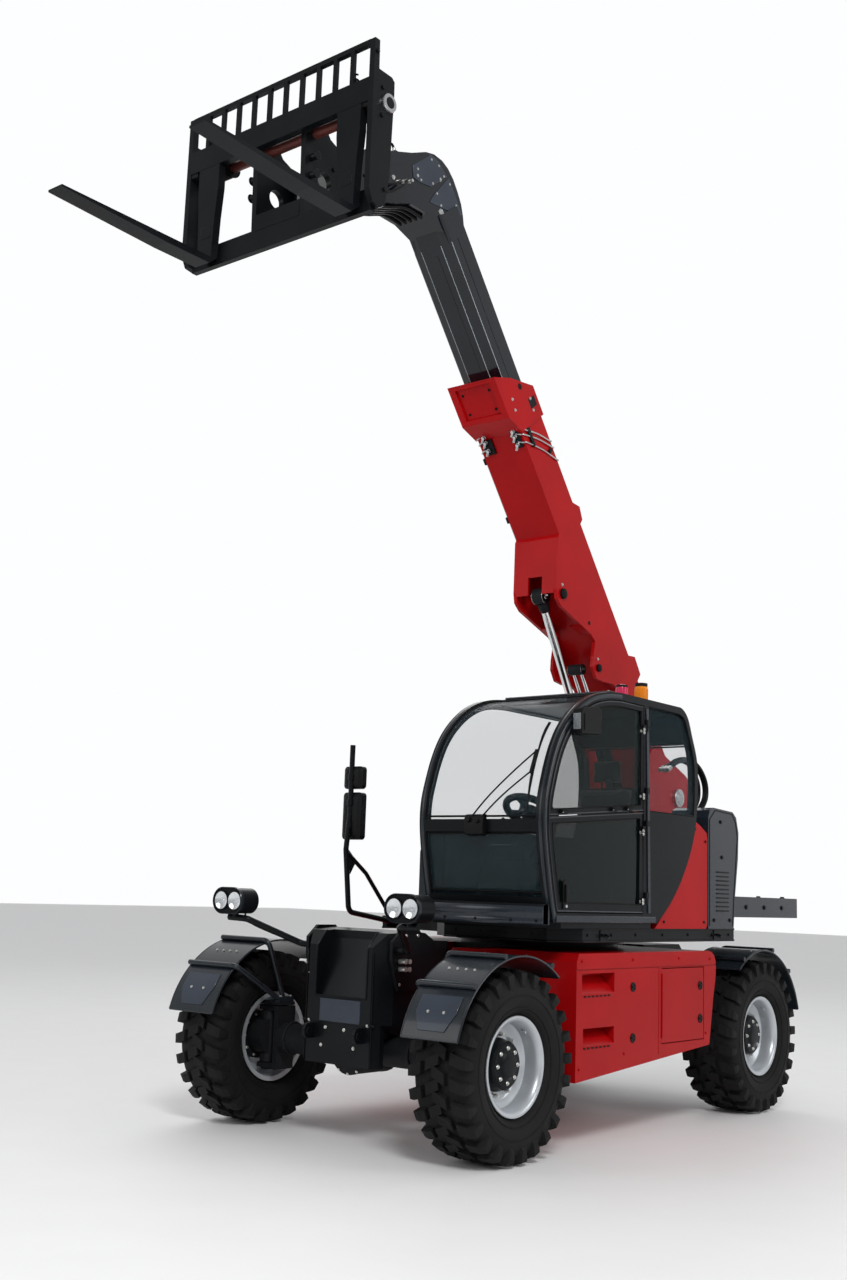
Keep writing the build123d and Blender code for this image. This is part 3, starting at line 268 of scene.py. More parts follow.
class Piece:
    """Gathers simple shapes into one mesh that rides on a body."""

    def __init__(self, name, mat, body, slot=None, bevel=0.0, smooth=35):
        self.name, self.mat, self.body, self.slot = name, mat, body, slot
        self.bm = bmesh.new()
        self.bevel, self.smooth = bevel, smooth

    def mesh(self, verts, faces):
        vs = [self.bm.verts.new(v) for v in verts]
        for f in faces:
            try:
                self.bm.faces.new([vs[i] for i in f])
            except ValueError:
                pass
        return self

    def frame_of(self, p, q):
        d = (q - p).normalized()
        a = Vector((0, 0, 1)) if abs(d.z) < 0.9 else Vector((1, 0, 0))
        s = d.cross(a).normalized()
        t = d.cross(s).normalized()
        return d, s, t

    def cyl(self, p, q, r, seg=20, r_end=None):
        r_end = r if r_end is None else r_end
        d, s, t = self.frame_of(p, q)
        vs, fs = [], []
        for c, rr in ((p, r), (q, r_end)):
            for i in range(seg):
                a = 2 * pi * i / seg
                vs.append(c + (s * cos(a) + t * sin(a)) * rr)
        for i in range(seg):
            j = (i + 1) % seg
            fs.append((i, j, seg + j, seg + i))
        fs.append(tuple(range(seg - 1, -1, -1)))
        fs.append(tuple(range(seg, 2 * seg)))
        return self.mesh(vs, fs)

    def box(self, x0, x1, y0, y1, z0, z1):
        x0, x1, y0, y1, z0, z1 = min(x0, x1), max(x0, x1), min(y0, y1), max(y0, y1), min(z0, z1), max(z0, z1)
        v = [V(x, y, z) for z in (z0, z1) for x, y in ((x0, y0), (x1, y0), (x1, y1), (x0, y1))]
        return self.mesh(v, [(3, 2, 1, 0), (4, 5, 6, 7), (0, 1, 5, 4), (1, 2, 6, 5), (2, 3, 7, 6), (3, 0, 4, 7)])

    def bar(self, p, q, w, h, up_hint=Vector((0, 0, 1))):
        """A rectangular bar from p to q, w wide and h high."""
        d = (q - p).normalized()
        s = d.cross(up_hint).normalized()
        t = s.cross(d).normalized()
        v = []
        for c in (p, q):
            for a, b in ((-1, -1), (1, -1), (1, 1), (-1, 1)):
                v.append(c + s * a * w / 2 + t * b * h / 2)
        return self.mesh(v, [(3, 2, 1, 0), (4, 5, 6, 7), (0, 1, 5, 4), (1, 2, 6, 5), (2, 3, 7, 6), (3, 0, 4, 7)])

    def prism(self, pts, x0, x1):
        """A side-view outline (y, z) between x0 and x1."""
        n = len(pts)
        x0, x1 = min(x0, x1), max(x0, x1)
        area2 = sum(pts[i][0] * pts[(i + 1) % n][1] - pts[(i + 1) % n][0] * pts[i][1] for i in range(n))
        if area2 < 0:
            pts = pts[::-1]
        v = [V(x, y, z) for x in (x0, x1) for y, z in pts]
        f = [tuple(range(n - 1, -1, -1)), tuple(range(n, 2 * n))]
        f += [(i, (i + 1) % n, n + (i + 1) % n, n + i) for i in range(n)]
        return self.mesh(v, f)

    def rings(self, rows, closed=True, caps=False):
        """Skins a list of equal point rows."""
        n = len(rows[0])
        v = [p for row in rows for p in row]
        f = []
        for k in range(len(rows) - 1):
            for i in range(n if closed else n - 1):
                j = (i + 1) % n
                f.append((k * n + i, k * n + j, (k + 1) * n + j, (k + 1) * n + i))
        if caps:
            f.append(tuple(range(n - 1, -1, -1)))
            f.append(tuple(range((len(rows) - 1) * n, len(rows) * n)))
        return self.mesh(v, f)

    def lathe(self, centre, axis, prof, seg=64, a0=0.0, a1=2 * pi):
        """prof is (distance along axis, radius)."""
        d, s, t = self.frame_of(centre, centre + axis)
        full = abs(a1 - a0 - 2 * pi) < 1e-6
        count = seg if full else seg + 1
        rows = []
        for h, r in prof:
            rows.append([centre + d * h + (s * cos(a0 + (a1 - a0) * i / seg) + t * sin(a0 + (a1 - a0) * i / seg)) * r for i in range(count)])
        return self.rings(rows, closed=full)

    def tube(self, pts, r, seg=12, smooth_steps=10, bend=True):
        """A round tube through pts with a smooth line."""
        if bend and len(pts) > 2:
            line = []
            P = [pts[0] * 2 - pts[1]] + list(pts) + [pts[-1] * 2 - pts[-2]]
            for i in range(1, len(P) - 2):
                for k in range(smooth_steps):
                    t = k / smooth_steps
                    a, b, c, d = P[i - 1], P[i], P[i + 1], P[i + 2]
                    line.append(0.5 * ((2 * b) + (c - a) * t + (2 * a - 5 * b + 4 * c - d) * t * t + (3 * b - a - 3 * c + d) * t ** 3))
            line.append(P[-2])
        else:
            line = list(pts)
        rows = []
        prev = None
        for i, p in enumerate(line):
            if i == 0:
                d = line[1] - p
            elif i == len(line) - 1:
                d = p - line[-2]
            else:
                d = line[i + 1] - line[i - 1]
            d.normalize()
            if prev is None:
                a = Vector((0, 0, 1)) if abs(d.z) < 0.9 else Vector((1, 0, 0))
                s = d.cross(a).normalized()
            else:
                s = (prev - d * prev.dot(d)).normalized()
            prev = s
            t = d.cross(s).normalized()
            rows.append([p + (s * cos(2 * pi * k / seg) + t * sin(2 * pi * k / seg)) * r for k in range(seg)])
        return self.rings(rows, caps=True)

    def bolt(self, p, n, r=0.011, h=0.009):
        """A hexagon head on a washer, standing along n."""
        n = n.normalized()
        self.cyl(p, p + n * h * 0.25, r * 1.35, 14)
        self.cyl(p + n * h * 0.25, p + n * h, r, 6)
        return self

    def dome(self, c, n, r, h=None, seg=20, steps=5):
        n = n.normalized()
        h = r if h is None else h
        rows = []
        d, s, t = self.frame_of(c, c + n)
        for k in range(steps):
            a = pi / 2 * k / steps
            rows.append([c + n * h * sin(a) + (s * cos(2 * pi * i / seg) + t * sin(2 * pi * i / seg)) * r * cos(a) for i in range(seg)])
        v = [p for row in rows for p in row] + [c + n * h]
        f = [tuple(range(seg - 1, -1, -1))]
        for k in range(steps - 1):
            for i in range(seg):
                j = (i + 1) % seg
                f.append((k * seg + i, k * seg + j, (k + 1) * seg + j, (k + 1) * seg + i))
        top = steps * seg
        for i in range(seg):
            f.append(((steps - 1) * seg + i, (steps - 1) * seg + (i + 1) % seg, top))
        return self.mesh(v, f)

    def done(self):
        me = bpy.data.meshes.new(self.name)
        bmesh.ops.recalc_face_normals(self.bm, faces=self.bm.faces)
        self.bm.to_mesh(me)
        self.bm.free()
        me.materials.append(M[self.mat])
        o = bpy.data.objects.new(self.name, me)
        bpy.context.scene.collection.objects.link(o)
        if self.smooth:
            for p in me.polygons:
                p.use_smooth = True
            me.set_sharp_from_angle(angle=rad(self.smooth))
        if self.bevel:
            b = o.modifiers.new("edge", "BEVEL")
            b.width, b.segments, b.limit_method, b.angle_limit = self.bevel, 2, "ANGLE", rad(40)
            b.harden_normals = False
        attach(o, self.body)
        return o


X = Vector((1, 0, 0))
Y = Vector((0, 1, 0))
Z = Vector((0, 0, 1))
WHEELS = [("front_left", 1, 0.0, -1), ("front_right", -1, 0.0, -1), ("rear_left", 1, 3.080, 1), ("rear_right", -1, 3.080, 1)]

# ------------------------------------------------------------------ wheels
for tag, sx, yc, out in WHEELS:
    c = V(sx * 0.9545, yc, 0.5375)
    body = "wheel_" + tag
    t = Piece("tyre_casing_" + tag, "rubber", body, "tyre_rubber")
    half = [(0.148, 0.2555), (0.150, 0.286), (0.170, 0.302), (0.176, 0.306), (0.181, 0.318), (0.191, 0.345), (0.1965, 0.375), (0.1975, 0.400), (0.1935, 0.430),
            (0.187, 0.452), (0.181, 0.470), (0.170, 0.489), (0.150, 0.500), (0.110, 0.507), (0.060, 0.510), (0.0, 0.511)]
    prof = [(-a, b) for a, b in half] + [(a, b) for a, b in reversed(half[:-1])] + [(-0.148, 0.2555)]
    t.lathe(c, X, prof, seg=120)
    casing = t.done()
    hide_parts("tyre_" + tag)
    lug = Piece("tyre_lugs_" + tag, "rubber", body, "tyre_rubber", smooth=0)
    count = 25
    # every lug runs from past the tread's middle to the shoulder, then down the sidewall
    path = [(-0.022, 0.511, 0.5365, 0.00), (0.050, 0.510, 0.5368, 0.050), (0.105, 0.507, 0.5360, 0.092), (0.150, 0.498, 0.5300, 0.118),
            (0.176, 0.484, 0.5180, 0.128), (0.190, 0.458, 0.4900, 0.134), (0.1945, 0.432, 0.4500, 0.136)]
    for side in (-1, 1):
        for i in range(count):
            base = 2 * pi * (i + (0.5 if side > 0 else 0.0)) / count
            rows = []
            for k, (xx, r_in, r_out, da) in enumerate(path):
                w = (0.074, 0.076, 0.078, 0.076, 0.072, 0.064, 0.048)[k]
                sink = 0.010
                # tread rows stand out radially, sidewall rows stand out sideways
                xo = xx + (0.0, 0.0, 0.0, 0.010, 0.022, 0.0125, 0.006)[k]
                xo = min(xo, 0.2022)
                ring = []
                for (ww, top) in ((-1, 0), (-0.82, 1), (0.82, 1), (1, 0)):
                    a = base + da * 1.25 + ww * w / 2 / 0.53 * (1.0 if not top else 1.0)
                    rr = r_out if top else r_in - sink
                    xv = xo if top else xx - (0.012 if k > 3 else 0)
                    ring.append(c + X * (side * xv) + (Y * cos(a) + Z * sin(a)) * rr)
                rows.append(ring)
            # a groove parts the tread block from the shoulder block
            cut = [a * .72 + b * .28 for a, b in zip(rows[1], rows[2])]
            end = [a * .12 + b * .88 for a, b in zip(rows[1], rows[2])]
            lug.rings([rows[0], rows[1], cut], closed=True, caps=True)
            lug.rings([end] + rows[2:], closed=True, caps=True)
    lug.done()
    # raised ring and beads on the sidewall
    ringp = Piece("tyre_sidewall_ribs_" + tag, "rubber", body, "tyre_rubber")
    for side in (-1, 1):
        for r0, x0 in ((0.325, 0.186), (0.395, 0.1975)):
            ringp.lathe(c, X, [(side * (x0 - 0.003), r0 - 0.004), (side * (x0 + 0.0028), r0 - 0.002), (side * (x0 + 0.0028), r0 + 0.002), (side * (x0 - 0.003), r0 + 0.004)], seg=96)
    ringp.done()
    # rim, smooth
    rim = Piece("rim_dish_" + tag, "rim", body, "rim_grey", smooth=30)
    pr = [(-0.165, 0.2795), (-0.156, 0.2795), (-0.151, 0.262), (-0.149, 0.2548), (0.149, 0.2548), (0.151, 0.262), (0.156, 0.2795), (0.1625, 0.2795), (0.165, 0.277),
          (0.165, 0.272), (0.160, 0.258), (0.148, 0.247), (0.128, 0.241), (0.095, 0.2375), (0.060, 0.236), (0.052, 0.228), (0.044, 0.214), (0.034, 0.205), (0.028, 0.192),
          (0.024, 0.150), (0.024, 0.100), (0.006, 0.100), (0.006, 0.190), (-0.010, 0.214), (-0.060, 0.244), (-0.150, 0.247), (-0.160, 0.252), (-0.165, 0.2795)]
    rim.lathe(c, X, [(sx * a, b) for a, b in pr], seg=120)
    # valve
    rim.cyl(c + X * sx * 0.10 + (Y * 0.6 + Z * 0.8) * 0.232, c + X * sx * 0.132 + (Y * 0.6 + Z * 0.8) * 0.222, 0.006, 10)
    rim_o = rim.done()
    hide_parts("rim_" + tag)
    hub = Piece("hub_cover_" + tag, "black", body, "black_steel", smooth=30)
    hub.lathe(c, X, [(sx * a, b) for a, b in [(0.022, 0.150), (0.040, 0.148), (0.046, 0.143), (0.092, 0.134), (0.104, 0.120), (0.107, 0.080), (0.112, 0.072), (0.116, 0.066), (0.1195, 0.040), (0.120, 0.001)]], seg=72)
    hub.done()
    nuts = Piece("wheel_nuts_" + tag, "zinc", body, "bright_steel")
    for i in range(10):
        a = 2 * pi * i / 10 + 0.2
        p = c + X * sx * 0.024 + (Y * cos(a) + Z * sin(a)) * 0.170
        nuts.cyl(p, p + X * sx * 0.006, 0.019, 16)
        nuts.cyl(p + X * sx * 0.006, p + X * sx * 0.028, 0.0145, 6)
        nuts.cyl(p + X * sx * 0.028, p + X * sx * 0.038, 0.009, 12)
    for i in range(8):
        a = 2 * pi * i / 8
        p = c + X * sx * 0.105 + (Y * cos(a) + Z * sin(a)) * 0.096
        nuts.bolt(p, X * sx, 0.009, 0.009)
    nuts.done()

# ------------------------------------------------------------------ fenders: rolled edge, patch plate and bolts
for tag, sx, yc, out in WHEELS:
    body = "steer_" + tag

    def arc(deg, r, x):
        a = rad(deg)
        return V(x, yc + out * r * cos(a), 0.5375 + r * sin(a))
    lip = Piece("fender_edge_" + tag, "fender", body, "black_plastic")
    for xx in (sx * 0.756, sx * 1.146):
        lip.tube([arc(16 + 112 * i / 28, 0.610, xx) for i in range(29)], 0.0065, seg=8, smooth_steps=1, bend=False)
    for dg in (16, 128):
        lip.tube([arc(dg, 0.610, sx * 0.756), arc(dg, 0.610, sx * 1.146)], 0.0065, seg=8, bend=False)
    lip.done()
    patch = Piece("fender_plate_" + tag, "patch", body, "black_plastic", bevel=0.003)
    bolts = Piece("fender_bolts_" + tag, "zinc", body, "bright_steel")
    rows = []
    for i in range(7):
        dg = 20 + 20 * i / 6
        cut_ = 0.016 * max(0, 3 - i)
        xa, xb = sx * (0.815 + cut_), sx * (1.095 - cut_)
        rows.append([arc(dg, 0.6135, xa), arc(dg, 0.6135, xb), arc(dg, 0.6195, xb), arc(dg, 0.6195, xa)])
    patch.rings(rows, closed=True, caps=True)
    patch.done()
    for dg, xs in ((30, (0.90, 1.01)), (60, (0.86, 0.92, 0.98, 1.04)), (100, (0.80, 1.10))):
        for xx in xs:
            n = (arc(dg, 1.0, 0) - arc(dg, 0.0, 0))
            bolts.bolt(arc(dg, 0.619 if dg < 45 else 0.6138, sx * xx), n, 0.0065, 0.007)
    bolts.done()

# ------------------------------------------------------------------ helpers for the upper structure
TH = rad(51.4)
CB, SB = cos(TH), sin(TH)
BS, BN = Vector((0, -CB, SB)), Vector((0, SB, CB))


def B(s, n, x):
    """A point in the boom's frame: s along the boom, n out of its top, x across."""
    return V(x, 3.720 - s * CB + n * SB, 2.320 + s * SB + n * CB)


def inset(pts, d):
    res = []
    n = len(pts)
    a2 = sum(pts[i][0] * pts[(i + 1) % n][1] - pts[(i + 1) % n][0] * pts[i][1] for i in range(n))
    sg = 1 if a2 > 0 else -1
    for i in range(n):
        p0, p1, p2 = pts[i - 1], pts[i], pts[(i + 1) % n]
        e = []
        for a, b in ((p0, p1), (p1, p2)):
            dx, dy = b[0] - a[0], b[1] - a[1]
            L = math.hypot(dx, dy)
            e.append((-dy / L * sg, dx / L * sg))
        k = 1 + e[0][0] * e[1][0] + e[0][1] * e[1][1]
        res.append((p1[0] + d * (e[0][0] + e[1][0]) / k, p1[1] + d * (e[0][1] + e[1][1]) / k))
    return res


def curve(pts, steps=4):
    res = []
    for i in range(len(pts) - 1):
        p0, p1, p2, p3 = pts[max(i - 1, 0)], pts[i], pts[i + 1], pts[min(i + 2, len(pts) - 1)]
        for k in range(steps):
            t = k / steps
            res.append(tuple(0.5 * (2 * p1[j] + (p2[j] - p0[j]) * t + (2 * p0[j] - 5 * p1[j] + 4 * p2[j] - p3[j]) * t ** 2
                                    + (3 * p1[j] - p0[j] - 3 * p2[j] + p3[j]) * t ** 3) for j in (0, 1)))
    return res + [pts[-1]]


def keep(poly, f):
    res = []
    for i in range(len(poly)):
        a, b = poly[i], poly[(i + 1) % len(poly)]
        fa, fb = f(a), f(b)
        if fa >= 0:
            res.append(a)
        if (fa >= 0) != (fb >= 0):
            t = fa / (fa - fb)
            res.append((a[0] + t * (b[0] - a[0]), a[1] + t * (b[1] - a[1])))
    return res


CAB = [(.345, 1.335), (.305, 1.470), (.262, 1.650), (.232, 1.800), (.218, 1.930), (.226, 2.060), (.258, 2.180), (.300, 2.300), (.352, 2.410),
       (.420, 2.510), (.510, 2.600), (.620, 2.680), (.760, 2.745), (.930, 2.785), (1.100, 2.800), (1.850, 2.800), (1.930, 2.780), (1.985, 2.730),
       (2.030, 2.640), (2.110, 2.460), (2.122, 2.200), (2.085, 1.960), (1.985, 1.750), (1.850, 1.570), (1.700, 1.430), (1.560, 1.335)]


def arch(d):
    p = inset(CAB, d)
    return curve(p[:15]) + curve(p[15:])


def belt(y):
    return 2.054 + 0.088 * (y - 1.390)


OPEN = keep(keep(arch(.048), lambda p: p[1] - 1.392), lambda p: 1.386 - p[0])
LEAF = inset(OPEN, .006)


def loop(name, pts, x, r, body, mat="seal", slot="black_plastic"):
    """A round gasket that follows a closed side-view outline."""
    p = Piece(name, mat, body, slot)
    line = [V(x, a, b) for a, b in pts] + [V(x, *pts[0])]
    p.tube(line, r, seg=8, bend=False)
    return p.done()


def ringbolts(piece, c, n, radius, count, r=0.008, h=0.007, phase=0.0):
    n = n.normalized()
    a = Vector((0, 0, 1)) if abs(n.z) < 0.9 else Vector((1, 0, 0))
    s = n.cross(a).normalized()
    t = n.cross(s).normalized()
    for i in range(count):
        w = 2 * pi * i / count + phase
        piece.bolt(c + (s * cos(w) + t * sin(w)) * radius, n, r, h)


# ------------------------------------------------------------------ head lamps
bez = Piece("lamp_bezels", "plastic", "chassis", "black_plastic")
refl = Piece("lamp_reflectors", "chrome", "chassis", "chrome_rod")
lens = Piece("lamp_lenses", "lens", "chassis", "clear_glass")
band = Piece("lamp_hoods", "fender", "chassis", "black_plastic")
fix = Piece("lamp_fixings", "zinc", "chassis", "bright_steel")
for sx in (-1, 1):
    for dx in (-0.059, 0.059):
        c = V(sx * 0.706 + dx, -0.550, 1.392)
        bez.lathe(c, -Y, [(0, .0600), (0.010, .0600), (0.013, .0575), (0.010, .0535), (0.0005, .0535)], seg=40)
        refl.lathe(c, -Y, [(0.0095, .0535), (0.0060, .0440), (0.0025, .0280), (0.0010, .0140), (0.0008, .0001)], seg=40)
        refl.cyl(c - Y * 0.001, c - Y * 0.008, 0.010, 16)
        lens.lathe(c, -Y, [(0.0100, .0537), (0.0145, .0400), (0.0170, .0200), (0.0178, .0001)], seg=40)
    def slot_ring(y, grow, n=14):
        pts = []
        for side in (1, -1):
            for i in range(n):
                a = -pi / 2 + pi * i / (n - 1)
                pts.append(V(sx * 0.706 + side * (0.047 + (0.078 + grow) * cos(a)), y, 1.392 + side * (0.078 + grow) * sin(a)))
        return pts
    band.rings([slot_ring(-0.540, 0.0005), slot_ring(-0.540, 0.005), slot_ring(-0.562, 0.005), slot_ring(-0.566, 0.002), slot_ring(-0.552, -0.003)])
    band.rings([slot_ring(-0.408, -0.002), slot_ring(-0.404, -0.012)], caps=True)
    for dx in (-0.09, 0.0, 0.09):
        fix.bolt(V(sx * 0.706 + dx, -0.404, 1.392), Y, 0.007, 0.006)
    fix.bolt(V(sx * 0.706, -0.48, 1.318), -Y, 0.010, 0.008)
    # cable from the lamp's back along the arm
    cab_l = [V(sx * 0.706, -0.404, 1.360), V(sx * 0.712, -0.385, 1.325), V(sx * 0.66, -0.44, 1.298), V(sx * 0.60, -0.425, 1.250), V(sx * 0.50, -0.27, 1.178), V(sx * 0.43, -0.14, 1.128), V(sx * 0.355, -0.13, 1.120)]
    Piece(f"lamp_cable_{'left' if sx > 0 else 'right'}", "hose", "chassis", "black_plastic").tube(cab_l, 0.006, seg=8).done()
for p in (bez, refl, lens, band, fix):
    p.done()

# ------------------------------------------------------------------ nose of the chassis
nb = Piece("nose_bolts", "zinc", "chassis", "bright_steel")
for x, z in ((-.235, .700), (-.10, .665), (.05, .660), (.235, .700), (.13, .560), (-.13, .560)):
    nb.bolt(V(x, -0.270 if z > .7 else -0.268, z), -Y, 0.0080, 0.007)
for sx in (-1, 1):
    for y, z in ((-.13, .94), (.15, .94), (-.08, 1.225), (.03, 1.225)):
        nb.bolt(V(sx * .352, y, z), X * sx, 0.0075, 0.006)
nb.done()
npl = Piece("nose_face_plate", "patch", "chassis", "black_steel", bevel=0.004)
npl.box(-.150, .175, -.2745, -.2660, .700, .835)
npl.done()
coup = Piece("nose_couplings", "zinc", "chassis", "bright_steel")
for sx in (-1, 1):
    for k, (y, z) in enumerate(((-.135, 1.03), (-.135, 1.075), (-.095, 1.03), (-.095, 1.075))):
        c = V(sx * .352, y, z)
        coup.cyl(c, c + X * sx * .022, .016, 6)
        coup.cyl(c + X * sx * .022, c + X * sx * .045, .013, 16)
        coup.cyl(c + X * sx * .045, c + X * sx * .050, .015, 16)
coup.done()
hook = Piece("front_towing_eyes", "black", "chassis", "black_steel", bevel=0.003)
for x in (-.20, .20):
    # plate with a rounded nose, round eye
    rows = []
    for xx in (x - .0125, x + .0125):
        rows.append([V(xx, -.268 - .055 - .035 * cos(a), .640 + .045 * sin(a)) for a in [-pi / 2 + pi * i / 10 for i in range(11)]] + [V(xx, -.262, .685), V(xx, -.262, .595)])
    hook.rings(rows, caps=True)
    hook.cyl(V(x - .018, -.318, .640), V(x + .018, -.318, .640), .024, 20)
hook.done()
seam = Piece("nose_edge_flanges", "black", "chassis", "black_steel", bevel=0.002)
# rolled rim round the recess and the folded seams beside it
seam.tube([V(-.192, -.271, .850), V(.216, -.271, .850)], .006, 8, bend=False)
for x in (-.192, .217):
    seam.tube([V(x, -.271, .850), V(x, -.271, 1.145), V(x, -.232, 1.188), V(x, -.190, 1.236)], .006, 8, bend=False)
seam.box(.262, .268, -.2725, -.262, .470, 1.12)
seam.box(-.268, -.262, -.2725, -.262, .470, 1.12)
seam.box(-.29, .29, -.2725, -.262, .694, .706)
seam.done()
# ------------------------------------------------------------------ side bodies: locks, louvres, treads, bolts
lk = Piece("body_locks", "plastic", "chassis", "black_plastic")
for y, z in ((1.302, .935), (1.302, .62)):
    c = V(1.0995, y, z)
    lk.lathe(c, X, [(0, .030), (.004, .030), (.006, .027), (.003, .022), (.003, .0001)], seg=28)
    lk.box(1.1025, 1.108, y - .018, y + .018, z - .005, z + .005)
lk.done()
lk2 = Piece("hatch_latches", "plastic", "hatch", "black_plastic")
for z in (.70, .92):
    c = V(1.0975, 2.20, z)
    lk2.lathe(c, X, [(0, .030), (.004, .030), (.006, .027), (.003, .022), (.003, .0001)], seg=28)
    lk2.box(1.1005, 1.106, 2.182, 2.218, z - .005, z + .005)
lk2.done()
lk3 = Piece("hood_latches", "plastic", "hood", "black_plastic")
for y in (.95, 2.05):
    c = V(-1.0975, y, .63)
    lk3.lathe(c, -X, [(0, .030), (.004, .030), (.006, .027), (.003, .022), (.003, .0001)], seg=28)
    lk3.box(-1.106, -1.1005, y - .018, y + .018, .625, .635)
lk3.done()
louv = Piece("hood_louvres", "plastic", "hood", "black_plastic", bevel=0.0012)
for k in range(14):
    y0 = 1.12 + k * .058
    louv.prism([(y0, .72), (y0 + .038, .72), (y0 + .038, .96), (y0, .96)], -1.1005, -1.0975)
    louv.box(-1.108, -1.0985, y0 + .030, y0 + .038, .72, .96)
louv.done()
tread = Piece("step_treads", "plastic", "chassis", "black_plastic", bevel=0.0015)
for zf, y0, y1, x0, x1 in ((.700, .72, 1.02, .975, 1.075), (1.000, .71, 1.02, .965, 1.075)):
    pass
for k in range(7):
    y0 = .715 + k * .046
    tread.box(1.0985, 1.1045, y0 + .01, y0 + .034, .584, .594)
    tread.box(1.0985, 1.1045, y0 + .01, y0 + .034, .889, .899)
tread.done()
sb = Piece("body_bolts", "red", "chassis", "bright_steel")
for y, z in ((.70, 1.105), (1.30, 1.105), (1.90, 1.105), (2.34, 1.095), (.68, .47), (1.2, .53), (2.28, .60)):
    sb.bolt(V(1.100, y, z), X, .008, .007)
for y, z in ((.70, 1.115), (1.30, 1.115), (1.90, 1.115), (2.34, 1.105), (.68, .47), (2.28, .60)):
    sb.bolt(V(-1.100, y, z), -X, .008, .007)
sb.done()
# diesel cap on the right body, on its top
cap = Piece("fuel_cap", "plastic", "chassis", "black_plastic")
cap.lathe(V(-.72, .72, 1.150), Z, [(0, .052), (.010, .052), (.012, .045), (.030, .045), (.034, .040), (.034, .0001)], seg=32)
for k in range(12):
    a = 2 * pi * k / 12
    cap.box(-.72 + .045 * cos(a) - .003, -.72 + .045 * cos(a) + .003, .72 + .045 * sin(a) - .003, .72 + .045 * sin(a) + .003, 1.163, 1.180)
cap.done()

# ------------------------------------------------------------------ axles and drive line
ax = Piece("axle_bolts", "zinc", "chassis", "bright_steel")
cov = Piece("axle_covers", "cast", "chassis", "engine_metal", bevel=0.003)
sh = Piece("drive_shafts", "black", "chassis", "black_steel")
for tag_y in (0.0, 3.080):
    for sgn in (-1, 1):
        c = V(0, tag_y + sgn * .150, .5375)
        cov.lathe(c, Y * sgn, [(-.02, .150), (.010, .150), (.012, .138), (.020, .120), (.045, .080), (.055, .060), (.055, .0001)], seg=48)
        ringbolts(ax, c + Y * sgn * .010, Y * sgn, .142, 12, .007, .007)
    for x in (-.62, -.40, .40, .62):
        cov.lathe(V(x, tag_y, .5375), X, [(-.012, .092), (-.012, .104), (.012, .104), (.012, .092)], seg=48)
    for x in (-.70, .70):
        for dy in (-.055, .055):
            for z in (.365, .42, .655, .71):
                ax.bolt(V(x, tag_y + dy, z) + X * (.025 if x > 0 else -.025), X * (1 if x > 0 else -1), .009, .008)
for y0, y1 in ((.205, 1.30), (1.70, 2.875)):
    sh.cyl(V(0, y0 + .08, .5375), V(0, y1 - .08, .5375), .038, 28)
    for yy, d in ((y0, 1), (y1, -1)):
        sh.cyl(V(0, yy, .5375), V(0, yy + d * .02, .5375), .062, 28)
        sh.bar(V(0, yy + d * .02, .5375), V(0, yy + d * .085, .5375), .028, .088)
        sh.cyl(V(-.046, yy + d * .058, .5375), V(.046, yy + d * .058, .5375), .014, 14)
        ringbolts(ax, V(0, yy + d * .02, .5375), Y * d, .050, 6, .006, .005)
sh.done()
cov.prism([(1.30, .46), (1.30, .60), (1.36, .645), (1.64, .645), (1.70, .60), (1.70, .46), (1.62, .42), (1.38, .42)], -.13, .13)
cov.done()
ringbolts(ax, V(.13, 1.5, .535), X, .085, 10)
ringbolts(ax, V(-.13, 1.5, .535), -X, .085, 10)
ax.done()
boots = Piece("steering_rod_boots", "plastic", "chassis", "black_plastic")
rodp = Piece("steering_rods", "chrome", "chassis", "chrome_rod")
for yc, out in ((0.0, -1), (3.080, 1)):
    for sx in (-1, 1):
        base = V(sx * .330, yc - out * .150, .4775)
        rodp.cyl(base, base + X * sx * .10, .018, 20)
        boots.lathe(base, X * sx, [(0, .043), (.012, .043), (.016, .036), (.024, .036), (.028, .028)], seg=32)
boots.done()
rodp.done()
for tag, sx, yc, out in WHEELS:
    kb = Piece("knuckle_bolts_" + tag, "zinc", "steer_" + tag, "bright_steel")
    kc = Piece("kingpin_caps_" + tag, "cast", "steer_" + tag, "engine_metal")
    for zz, d in ((.5375 + .212, 1), (.5375 - .205, -1)):
        c = V(sx * .840, yc, zz)
        kc.lathe(c, Z * d, [(-.006, .0275), (-.006, .040), (.002, .040), (.005, .036), (.005, .0001)], seg=28)
    for dy in (-.045, .045):
        for dx in (.705, .730):
            kb.bolt(V(sx * dx, yc + dy, .792), Z, .008, .007)
    ringbolts(kb, V(sx * .925, yc, .5375), -X * sx, .132, 10, .008, .007)
    # grease nipple on the hub carrier
    kb.cyl(V(sx * .87, yc + .105, .5375), V(sx * .87, yc + .125, .5375), .005, 8)
    kc.done()
    kb.done()

# ------------------------------------------------------------------ turret deck, tail and cowls
db = Piece("deck_bolts", "black", "turret", "bright_steel")
for y in (.82, 1.10, 1.40, 1.75, 2.10, 2.45, 2.70):
    db.bolt(V(1.060, y, 1.258), X, .009, .007)
for y in (1.40, 1.80, 2.20, 2.60):
    db.bolt(V(-1.000, y, 1.258), -X, .009, .007)
for x in (.28, .46, .64, .82):
    y = .480 + (x - .200) * .080 / .730
    db.bolt(V(x, y, 1.258), Vector((.109, -1, 0)), .009, .007)
db.done()
eye = Piece("deck_lashing_eyes", "black", "turret", "black_steel", bevel=0.002)
for y in (.994, 2.50):
    eye.box(1.060, 1.066, y - .035, y + .035, 1.222, 1.292)
    eye.tube([V(1.066, y - .022, 1.262), V(1.090, y - .020, 1.250), V(1.098, y, 1.242), V(1.090, y + .020, 1.250), V(1.066, y + .022, 1.262)], .006, 10)
eye.done()
edge = Piece("deck_edge_strip", "black", "turret", "black_steel", bevel=0.002)
